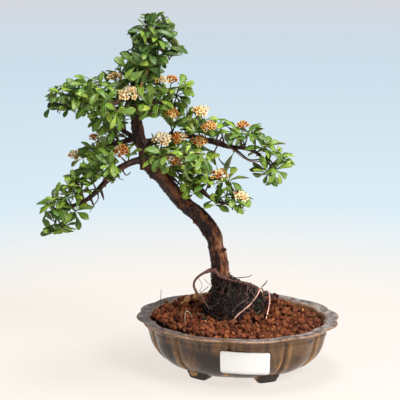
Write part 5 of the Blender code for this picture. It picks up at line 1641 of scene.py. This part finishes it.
    def drop(
        self, bench: Bench, rng: random.Random, shapes: list[np.ndarray], faces: list[tuple[int, ...]],
        place: Row, size: float, colour: Colour | None = None,
    ) -> None:
        """Lay one grain down.

        Args:
            bench: where the grains are gathered.
            rng: the draw that all grains share.
            shapes: broken shapes of unit size.
            faces: their faces.
            place: millimetres from the middle of the pot.
            size: its half size in millimetres.
            colour: its colour, or None for a usual one.
        """
        turn = Euler([rng.uniform(0.0, FULL_TURN) for _ in range(3)]).to_matrix()
        points = rng.choice(shapes) @ np.array(turn) * size * MM + np.array(self.site.spot(*place))
        note = tinted(colour or rng.choice(self.reds), rng.uniform(0.75, 1.25))
        bench.add(points.tolist(), faces, [note] * len(points))


@dataclass
class Moss:
    """Little tufts of moss where roots and soil meet."""

    site: Site
    seed: int = 31
    patches: tuple[Row, ...] = (
        (17, -15, 61, 3.4), (15, -19, 56, 3.2), (19, -13, 66, 2.2), (-31, -20, 52, 2.4),
        (-33, -14, 54, 2.0), (-6, -13, 77, 1.3), (8, -26, 51, 1.8),
    )
    green: Colour = (0.034, 0.062, 0.022)

    def build(self, material: bpy.types.Material) -> bpy.types.Object:
        """Build short pointed blades in each patch.

        Args:
            material: its finish.

        Returns:
            The finished piece.
        """
        rng = random.Random(self.seed)
        bench = Bench()
        for x, y, z, spread in self.patches:
            for _ in range(int(26 * spread)):
                out = Vector([rng.gauss(0.0, 0.45) for _ in range(3)])
                start = self.site.spot(x + out.x * spread, y + out.y * spread, z + out.z)
                way = (Vector((0.0, -0.25, 1.0)) + 0.6 * out).normalized() * rng.uniform(0.9, 2.0) * MM
                blade = rod((start, start + way * 0.6, start + way), (0.3, 0.22, 0.04))
                bench.add_tube(blade, 4, tinted(self.green, rng.uniform(0.6, 1.7)))
        return bench.make("moss", material)


@dataclass
class Wires:
    """Copper wire that ties the tree down, and short turns of it left on a branch."""

    site: Site
    radius: float = 0.72

    def tie(self, name: str, rows: Sequence[Row], material: bpy.types.Material) -> bpy.types.Object:
        """Build one wire through points in millimetres."""
        bench = Bench()
        knots = rod([self.site.spot(*row) for row in rows], [self.radius] * len(rows))
        bench.add_tube(smooth_run(knots, 6), 12, (1.0, 1.0, 1.0, 1.0))
        return bench.make(name, material)

    def coil(self, branch: str, low: float, high: float, turns: float) -> list[Row]:
        """Return the points of a wire wound round a branch between two shares of its length.

        Args:
            branch: the branch's name.
            low: the share where it starts.
            high: the share where it ends.
            turns: how many times it goes round.

        Returns:
            The points in millimetres.
        """
        knots = smooth_run(knots_of(BRANCHES[branch], self.site), 6)
        rows = []
        count = int(turns * 10)
        for k in range(count + 1):
            share = mixed(low, high, k / count)
            here, ahead = length_at(knots, share), length_at(knots, min(share + 0.02, 1.0))
            way = (ahead - here).normalized()
            side = side_of(way)
            lift = way.cross(side)
            radius = min(knots, key=lambda knot: (knot.at - here).length).radius + 0.3 * MM
            out = spoke(side, lift, FULL_TURN * turns * k / count)
            rows.append(tuple(self.site.local(here + out * radius)))
        return rows


@dataclass
class Spray:
    """A leafy twig with its rosettes of leaves, and the leaves along its stem."""

    site: Site
    name: str
    seed: int
    twigs: Bench
    leaves: Bench = field(default_factory=Bench)
    rng: random.Random = field(init=False)
    leaf_length: float = 22.0
    leaf_width: float = 7.7
    crowd: float = 0.92
    satellite_share: float = 0.65
    satellite_reach: tuple[float, float] = (6.5, 12.5)
    twig_radius: float = 0.8
    longest_leafy: float = 20.0
    trims: int = 5
    spreads: tuple[float, float] = (24.0, 92.0)
    sizes: tuple[float, float] = (0.60, 1.02)
    ages: tuple[float, float] = (0.84, 0.32)
    leaf_gap: float = 7.5
    twig_brown: Colour = (0.100, 0.045, 0.030)
    stem_note: Note = (0.420, 0.180, 0.065, 1.0)

    def __post_init__(self) -> None:
        """Start the draw that all its parts share."""
        self.rng = random.Random(self.seed)

    def build(self, leaf: bpy.types.Material) -> bpy.types.Object:
        """Build the spray.

        Args:
            leaf: the leaves' finish.

        Returns:
            The leaves as one piece.
        """
        branch, place, rosettes = SPRAYS[self.name]
        rows = TRUNK if branch == "trunk" else BRANCHES[branch]
        start = length_at(knots_of(rows, self.site), place)
        knee = start
        for k, (x, y, z, count) in enumerate(rosettes):
            end = self.site.spot(x, y, z)
            bend = knee.lerp(end, 0.5) + UP * (end - knee).length * 0.06
            radii = [self.twig_radius * share for share in (1.0, 0.9, 0.8)]
            run = smooth_run(rod((knee, bend, end), radii), 5)
            note = tinted(self.twig_brown, self.rng.uniform(0.7, 1.3))
            self.twigs.add_tube(run, 7, note, 0.3, 1.7 * self.seed + k)
            axis = ((end - bend).normalized() + UP * 0.45).normalized()
            self.rosette(end, axis, int(round(count * self.crowd)), 1.0)
            self.along(run)
            if self.rng.random() < self.satellite_share:
                self.satellite(run, note)
            if k == 0:
                knee = start.lerp(bend, 0.8)
        for x, y, z, count in SHOOTS.get(self.name, ()):
            self.shoot(self.site.spot(x, y, z), count)
        if self.name == "spray_leader":
            stem = smooth_run(knots_of(YOUNG_STEM, self.site), 5)
            self.twigs.add_tube(stem, 8, self.stem_note, 0.15)
        return self.leaves.make(self.name + "_leaves", leaf)

    def shoot(self, end: Vector, count: int) -> None:
        """Grow a rosette on a thin shoot from the nearest wood.

        Args:
            end: the rosette's place.
            count: its number of leaves.
        """
        tables = (TRUNK[12:], *BRANCHES.values())
        wood = [knot.at for rows in tables for knot in knots_of(rows, self.site)]
        start = min(wood, key=lambda place: (place - end).length + 0.6 * max(place.z - end.z, 0.0))
        bend = start.lerp(end, 0.5) - UP * (end - start).length * 0.05
        run = smooth_run(rod((start, bend, end), (0.85, 0.7, 0.5)), 4)
        self.twigs.add_tube(run, 6, tinted(self.twig_brown, self.rng.uniform(0.6, 1.2)), 0.3)
        axis = ((end - start).normalized() * 0.6 + UP * 0.8 + Vector((0.0, -0.35, 0.0))).normalized()
        self.rosette(end, axis, count, self.rng.uniform(0.88, 1.02))
        if (end - start).length < self.longest_leafy * MM:
            self.along(run)

    def rosette(self, centre: Vector, axis: Vector, count: int, size: float) -> None:
        """Grow a rosette, young upright leaves inside and older spread ones outside.

        Args:
            centre: where it grows.
            axis: unit vector that it opens to.
            count: its number of leaves.
            size: against the usual one.
        """
        first = side_of(axis)
        second = axis.cross(first).normalized()
        start = self.rng.uniform(0.0, FULL_TURN)
        # Each rosette has a random tone; towards the crown's top it is also painted darker, painted shade against
        # the strong top light.
        shade = self.rng.uniform(-0.14, 0.12) - 0.26 * eased(centre.z / MM, 268.0, 296.0)
        for k in range(count):
            share = (k + 0.5) / count
            spread = math.radians(mixed(*self.spreads, share ** 0.6)) + self.rng.uniform(-0.12, 0.12)
            outward = spoke(first, second, start + k * GOLDEN_ANGLE + self.rng.uniform(-0.25, 0.25))
            along = (spoke(axis, outward, spread) + UP * 0.10).normalized()
            length = size * self.leaf_length * mixed(*self.sizes, share ** 0.5) * self.rng.uniform(0.90, 1.10)
            age = mixed(*self.ages, share) + shade + self.rng.uniform(-0.12, 0.12)
            self.leaf(centre - axis * 1.5 * MM * share, along, axis, length * MM, age)

    def satellite(self, run: Sequence[Knot], note: Note) -> None:
        """Grow a short side shoot with a smaller rosette.

        Args:
            run: the twig that bears the shoot.
            note: the twig's colour.
        """
        start = run[self.rng.randint(len(run) // 2, len(run) - 2)].at
        way = (run[-1].at - run[0].at).normalized()
        out = Vector([self.rng.gauss(0.0, 1.0) for _ in range(3)])
        out = (out - way * out.dot(way) * 0.6 + UP * 0.35).normalized()
        end = start + out * self.rng.uniform(*self.satellite_reach) * MM
        bend = start.lerp(end, 0.5) + way * 0.8 * MM
        self.twigs.add_tube(smooth_run(rod((start, bend, end), (0.6, 0.5, 0.45)), 3), 6, note, 0.2)
        axis = (out + UP * 0.4 + way * 0.3).normalized()
        self.rosette(end, axis, self.rng.randint(6, 8), self.rng.uniform(0.75, 0.95))

    def along(self, run: Sequence[Knot]) -> None:
        """Grow a few smaller leaves from the outer part of a twig.

        Args:
            run: the twig.
        """
        way = (run[-1].at - run[0].at).normalized()
        first = side_of(way)
        second = way.cross(first)
        count = max(1, int((run[-1].at - run[0].at).length / (self.leaf_gap * MM)))
        for k in range(count):
            place = run[int(mixed(0.35, 0.92, (k + self.rng.random()) / count) * (len(run) - 1))].at
            outward = spoke(first, second, k * GOLDEN_ANGLE + self.rng.uniform(-0.5, 0.5))
            along = (outward + way * 0.35 + UP * 0.25).normalized()
            length = self.leaf_length * self.rng.uniform(0.5, 0.85) * MM
            self.leaf(place, along, (way + UP).normalized(), length, self.rng.uniform(0.1, 0.55))

    def leaf(self, base: Vector, along: Vector, axis: Vector, length: float, age: float) -> None:
        """Grow one leaf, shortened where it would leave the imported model's box.

        Args:
            base: where it grows.
            along: unit vector to its tip.
            axis: the way that its rosette opens.
            length: in metres.
            age: 0 old to 1 new.
        """
        upper = (axis + UP * 0.6).normalized()
        if upper.cross(along).length < 0.25:
            upper = side_of(along)
        upper = Matrix.Rotation(self.rng.uniform(-0.5, 0.5), 3, along) @ upper
        form = BladeForm(
            curl=self.rng.uniform(0.02, 0.26), fold=self.rng.uniform(0.08, 0.42), arch=self.rng.uniform(0.03, 0.12),
            wave=self.rng.uniform(0.02, 0.10), belly=self.rng.uniform(1.9, 2.7),
        )
        stout = (length / (self.leaf_length * MM)) ** 0.8
        width = self.leaf_width * stout * self.rng.uniform(0.85, 1.12) * MM
        phase = self.rng.uniform(0.0, FULL_TURN)
        for _ in range(self.trims):
            rings, notes = form.corners(
                base, along, upper, length, width, min(max(age, 0.0), 1.0), phase
            )
            corners = [point for ring in rings for point in ring]
            checked = [base + along * length * share for share in (0.35, 0.83, 1.0)]
            fits = self.site.in_pad(checked[1]) and self.site.holds(corners)
            if fits and not any(self.site.hides_bloom(point) for point in checked):
                self.leaves.add_rings(rings, notes)
                return
            length *= 0.93
            width *= 0.94


@dataclass
class Bloom:
    """A flower cluster: short stalks that fan out to a low dome of buds, flowers and husks."""

    site: Site
    name: str
    seed: int
    bench: Bench = field(default_factory=Bench)
    rng: random.Random = field(init=False)
    spread: float = 6.6
    dome: float = 3.4
    flowers: int = 14
    # Share of open flowers in a rust and in a cream cluster, and of buds in both
    open_share: tuple[float, float] = (0.10, 0.78)
    bud_share: float = 0.07
    petal: BladeForm = BladeForm(
        stations=(0.0, 0.3, 0.6, 0.85, 1.0), lanes=1, belly=0.95, blunt=0.6, foot=0.3, fold=0.25,
        arch=0.0, curl=-0.12, wave=0.1, thickness=0.16 * MM,
    )
    sepal: BladeForm = BladeForm(
        stations=(0.0, 0.3, 0.7, 1.0), lanes=1, belly=0.75, blunt=0.8, foot=0.45, fold=0.3,
        arch=0.0, curl=-0.12, wave=0.1, thickness=0.22 * MM,
    )
    stalk_green: Colour = (0.150, 0.190, 0.050)
    creams: tuple[Colour, ...] = ((0.97, 0.82, 0.48), (0.98, 0.88, 0.62), (0.93, 0.68, 0.30))
    rusts: tuple[Colour, ...] = (
        (0.74, 0.27, 0.04), (0.84, 0.40, 0.08), (0.56, 0.17, 0.03), (0.88, 0.55, 0.18),
    )
    heart: Colour = (0.085, 0.016, 0.008)
    anther: Colour = (0.420, 0.140, 0.030)

    def __post_init__(self) -> None:
        """Start the draw that all its parts share."""
        self.rng = random.Random(self.seed)

    def build(self, material: bpy.types.Material) -> bpy.types.Object:
        """Build the cluster as one piece.

        Args:
            material: its finish.

        Returns:
            The finished piece.
        """
        branch, share, place, size, tone = BLOOMS[self.name]
        start = length_at(knots_of(BRANCHES[branch], self.site), share)
        top = self.site.spot(*place)
        axis = ((top - start).normalized() * 0.4 + Vector((0.0, -0.32, 0.9))).normalized()
        hub = top - axis * 5.0 * size * MM
        bend = start.lerp(hub, 0.5) + UP * (hub - start).length * 0.06
        stalk = rod((start, bend, hub), (0.6, 0.55, 0.5))
        self.bench.add_tube(smooth_run(stalk, 5), 7, tinted(self.stalk_green), 0.2)
        first = side_of(axis)
        second = axis.cross(first).normalized()
        count = int(self.flowers * size)
        for k in range(count):
            out = math.sqrt((k + 0.4) / count) * self.rng.uniform(0.94, 1.06)
            outward = spoke(first, second, k * GOLDEN_ANGLE + self.rng.uniform(-0.15, 0.15))
            rise = 5.0 + self.dome * (0.5 - out * out) + self.rng.uniform(-0.6, 0.6)
            head = hub + (outward * self.spread * out + axis * rise) * size * MM
            facing = (axis + outward * 0.75 * out).normalized()
            draw = self.rng.random()
            stage = Stage.FADED
            if draw < self.open_share[tone is Tone.CREAM]:
                stage = Stage.OPEN
            elif draw > 1.0 - self.bud_share:
                stage = Stage.BUD
            self.flower(hub, head, facing, stage)
        return self.bench.make(self.name + "_flowers", material)

    def flower(self, hub: Vector, head: Vector, facing: Vector, stage: Stage) -> None:
        """Build one flower on its short stalk.

        Args:
            hub: where the stalk starts.
            head: the flower's place.
            facing: the way that it looks, before it turns to the light.
            stage: how far the flower has come.
        """
        facing = (facing + Vector((0.0, -0.4, 0.1))).normalized()
        cup = head - facing * 1.1 * MM
        middle = hub.lerp(cup, 0.5) + UP * 0.3 * MM
        base = self.stalk_green if stage is not Stage.FADED else self.rng.choice(self.rusts)
        note = tinted(base, 0.8)
        self.bench.add_tube(rod((hub, middle, cup), (0.26, 0.24, 0.3)), 5, note)
        swell = (cup - facing * 0.2 * MM, cup + facing * 0.35 * MM, head)
        self.bench.add_tube(rod(swell, (0.3, 0.75, 0.9)), 8, note)
        if stage is Stage.BUD:
            colour = self.rng.choice(self.creams)
            ball = [head + facing * out * MM for out in (-0.7, -0.1, 0.6, 1.1)]
            self.bench.add_tube(rod(ball, (0.5, 1.05, 0.9, 0.3)), 8, tinted(colour))
            return
        first = side_of(facing)
        second = facing.cross(first).normalized()
        turn = self.rng.uniform(0.0, FULL_TURN)
        open_flower = stage is Stage.OPEN
        colour = self.rng.choice(self.creams if open_flower else self.rusts)
        form = self.petal if open_flower else self.sepal
        size = self.rng.uniform(2.6, 3.2) if open_flower else self.rng.uniform(2.0, 2.7)
        for k in range(5):
            outward = spoke(first, second, turn + FULL_TURN * k / 5.0 + self.rng.uniform(-0.12, 0.12))
            lean = self.rng.uniform(0.10, 0.45) if open_flower else self.rng.uniform(0.15, 0.55)
            along = (outward + facing * lean).normalized()
            length = size * self.rng.uniform(0.85, 1.1) * MM
            width = length * (0.95 if open_flower else 0.72)
            rings, notes = form.corners(
                head + outward * 0.35 * MM, along, facing, length, width, 1.0, self.rng.uniform(0.0, 6.0)
            )
            lift = self.rng.uniform(0.85, 1.12)
            painted = []
            for _, _, way, _ in notes:
                warm = 0.5 * (1.0 - way) if open_flower else 0.12 * way
                tone = tuple(mixed(a, b, warm) for a, b in zip(colour, self.anther))
                painted.append(tinted(tone, lift))
            self.bench.add_rings(rings, painted)
        core = 0.75 if open_flower else 1.05
        shade = tinted(self.anther if open_flower else self.heart)
        heart = [head + facing * out * MM for out in (-0.1, 0.3, 0.5)]
        self.bench.add_tube(rod(heart, (core, 0.95 * core, 0.4 * core)), 7, shade)
        for k in range(7):
            outward = spoke(first, second, turn + FULL_TURN * k / 7.0 + self.rng.uniform(-0.2, 0.2))
            root = head + outward * 0.45 * MM
            tip = root + (facing * 1.1 + outward * self.rng.uniform(0.3, 0.8)).normalized() * 1.15 * MM
            self.bench.add_tube(rod((root, tip), (0.07, 0.09)), 3, tinted(colour))
            knob = (tip, tip + facing * 0.14 * MM, tip + facing * 0.3 * MM)
            self.bench.add_tube(rod(knob, (0.10, 0.2, 0.08)), 4, shade)


@dataclass
class Studio:
    """Glowing floor, soft lights and the camera at the photograph's viewing angle; the floor's glow is painted
    light.
    """

    site: Site
    camera_at: Row = (-34.9, -1154.9, 420.8)
    pitch: float = 12.75
    focal_pixels: float = 1300.0
    frame_pixels: float = 400.0
    near: Colour = (0.77, 0.72, 0.665)
    middle: Colour = (0.55, 0.69, 0.775)
    far: Colour = (0.56, 0.68, 0.775)
    farthest: Colour = (0.635, 0.66, 0.715)
    sheet: Colour = (0.135, 0.13, 0.125)
    # Strength of the floor's glow, which is painted light.
    glow: float = 1.0
    reach: float = 5.0
    floor_size: float = 60.0

    def floor(self) -> None:
        """Lay a wide floor that glows as painted light, warm white near the pot and pale blue far away; its own dim
        colour reflects the lamps.
        """
        easel = Easel("studio_floor")
        away = easel.node("VectorMath", "Value", {0: easel.where}, operation="LENGTH")
        far = easel.sum("DIVIDE", away, self.reach)
        tint = easel.ramp(
            far, (0.02, self.near), (0.06, self.near), (0.14, self.middle), (0.50, self.far),
            (0.95, self.farthest),
        )
        easel.dress(base_color=self.sheet, roughness=0.6)
        # The floor's glow is painted light: it brightens the floor and lights the pot and tree from below.
        easel.dress(emission_color=tint, emission_strength=self.glow)
        bpy.ops.mesh.primitive_plane_add(size=self.floor_size, location=(0.0, 0.0, 0.0))
        floor = bpy.context.object
        floor.name = "studio_floor"
        floor.data.materials.append(easel.material)
        floor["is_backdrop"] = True

    def lamp(self, name: str, place: Row, size: float, power: float, colour: Colour) -> None:
        """Hang a soft square lamp that looks at the tree.

        Args:
            name: the lamp's name.
            place: in metres.
            size: its side in metres.
            power: in watts.
            colour: its light.
        """
        light = bpy.data.lights.new(name, "AREA")
        light.shape = "SQUARE"
        light.size = size
        light.energy = power
        light.color = colour
        lamp = bpy.data.objects.new(name, light)
        lamp.location = Vector(place)
        aim = Vector((-0.02, 0.0, 0.16)) - lamp.location
        lamp.rotation_euler = aim.to_track_quat("-Z", "Y").to_euler()
        bpy.context.scene.collection.objects.link(lamp)

    def build(self) -> None:
        """Set up the whole studio."""
        bpy.context.scene.view_settings.view_transform = "Standard"
        self.floor()
        for lamp in LAMPS:
            self.lamp(*lamp)
        world = bpy.data.worlds.new("studio")
        bpy.context.scene.world = world
        world.use_nodes = True
        sky = world.node_tree.nodes["Background"]
        sky.inputs["Color"].default_value = (0.86, 0.92, 1.0, 1.0)
        sky.inputs["Strength"].default_value = 0.12
        self.camera()

    def camera(self) -> None:
        """Stand the camera where the photograph was taken from."""
        data = bpy.data.cameras.new("camera")
        data.sensor_width = 36.0
        data.lens = self.focal_pixels / self.frame_pixels * data.sensor_width
        data.clip_end = 100.0
        camera = bpy.data.objects.new("camera", data)
        camera.location = self.site.spot(*self.camera_at)
        camera.rotation_euler = Euler((math.radians(90.0 - self.pitch), 0.0, 0.0))
        bpy.context.scene.collection.objects.link(camera)
        bpy.context.scene.camera = camera


def main() -> None:
    """Build every piece in order and report it."""
    logging.basicConfig(level=logging.INFO, format="%(message)s")
    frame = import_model()
    packed_low, packed_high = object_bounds()
    pot_low, pot_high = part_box("pot")
    middle = (pot_low + pot_high) / 2.0
    margin = Vector((0.3, 0.3, 0.0)) * MM
    site = Site(Vector((middle.x, middle.y, 0.0)), packed_low + margin, packed_high - margin)

    bark = BarkFinish().make()
    leaf = LeafFinish().make()
    glaze = GlazeFinish().make()
    petals = NotedFinish("petals", 900.0, 0.05, 0.62, 1600.0, 0.08 * MM, 0.22, 0.3).make()
    clay = NotedFinish("clay_grains", 520.0, 0.45, 0.95, 1500.0, 0.35 * MM, shine=0.15).make()
    fibre = NotedFinish("root_fibre", 700.0, 0.45, 0.75, 1200.0, 0.2 * MM).make()
    tufts = NotedFinish("moss_tufts", 800.0, 0.35, 0.8).make()
    copper = PlainFinish("copper_wire", (0.74, 0.42, 0.34), (0.55, 0.28, 0.22), 0.40, 300.0, 0.6).make()
    dull = PlainFinish("dull_copper", (0.40, 0.20, 0.155), (0.20, 0.095, 0.075), 0.45, 300.0, 0.4).make()
    paper = PlainFinish("label_paper", (0.90, 0.89, 0.88), (0.85, 0.84, 0.83), 0.7, 500.0).make()
    mesh = PlainFinish("screen_mesh", (0.03, 0.03, 0.03), (0.02, 0.02, 0.02), 0.6, 700.0).make()

    fit(Pot(site).build(glaze), "glaze", "pot")
    fit(Label(site).build(paper), "paper", "pot_label")
    soil = Soil(site)
    fit(soil.bed(clay), "soil", "soil")
    fit(soil.grains(clay), "soil")
    fit(Wood(site).build(bark), "bark", "trunk_and_roots")
    fit(FineRoots(site).build(fibre), "bark")
    fit(Moss(site).build(tufts), "leaf")
    wires = Wires(site)
    fit(wires.tie("wire_front", TIE_FRONT, copper), "copper", "tie_wire_front")
    fit(wires.tie("wire_right", TIE_RIGHT, copper), "copper", "tie_wire_right")
    thin = Wires(site, 0.55)
    fit(thin.tie("wire_coil", thin.coil("left_low", 0.34, 0.50, 2.5), dull), "copper")
    fit(thin.tie("wire_coil_end", thin.coil("left_low", 0.80, 0.97, 2.5), dull), "copper")
    fit(thin.tie("wire_long", TIE_LONG, dull), "copper")
    twigs = Bench()
    for k, name in enumerate(SPRAYS):
        fit(Spray(site, name, 300 + k, twigs).build(leaf), "leaf", name)
    fit(twigs.make("twigs", fibre), "bark")
    for k, name in enumerate(BLOOMS):
        fit(Bloom(site, name, 100 + k).build(petals), BLOOMS[name][4].value, name)
    for name in ("drain_screen_left", "drain_screen_right"):
        screen = frame["nodes"][name]
        screen.data.materials.clear()
        screen.data.materials.append(mesh)
        LOG.info("%s: dressed", name)
    Studio(site).build()


if __name__ == "__main__":
    main()
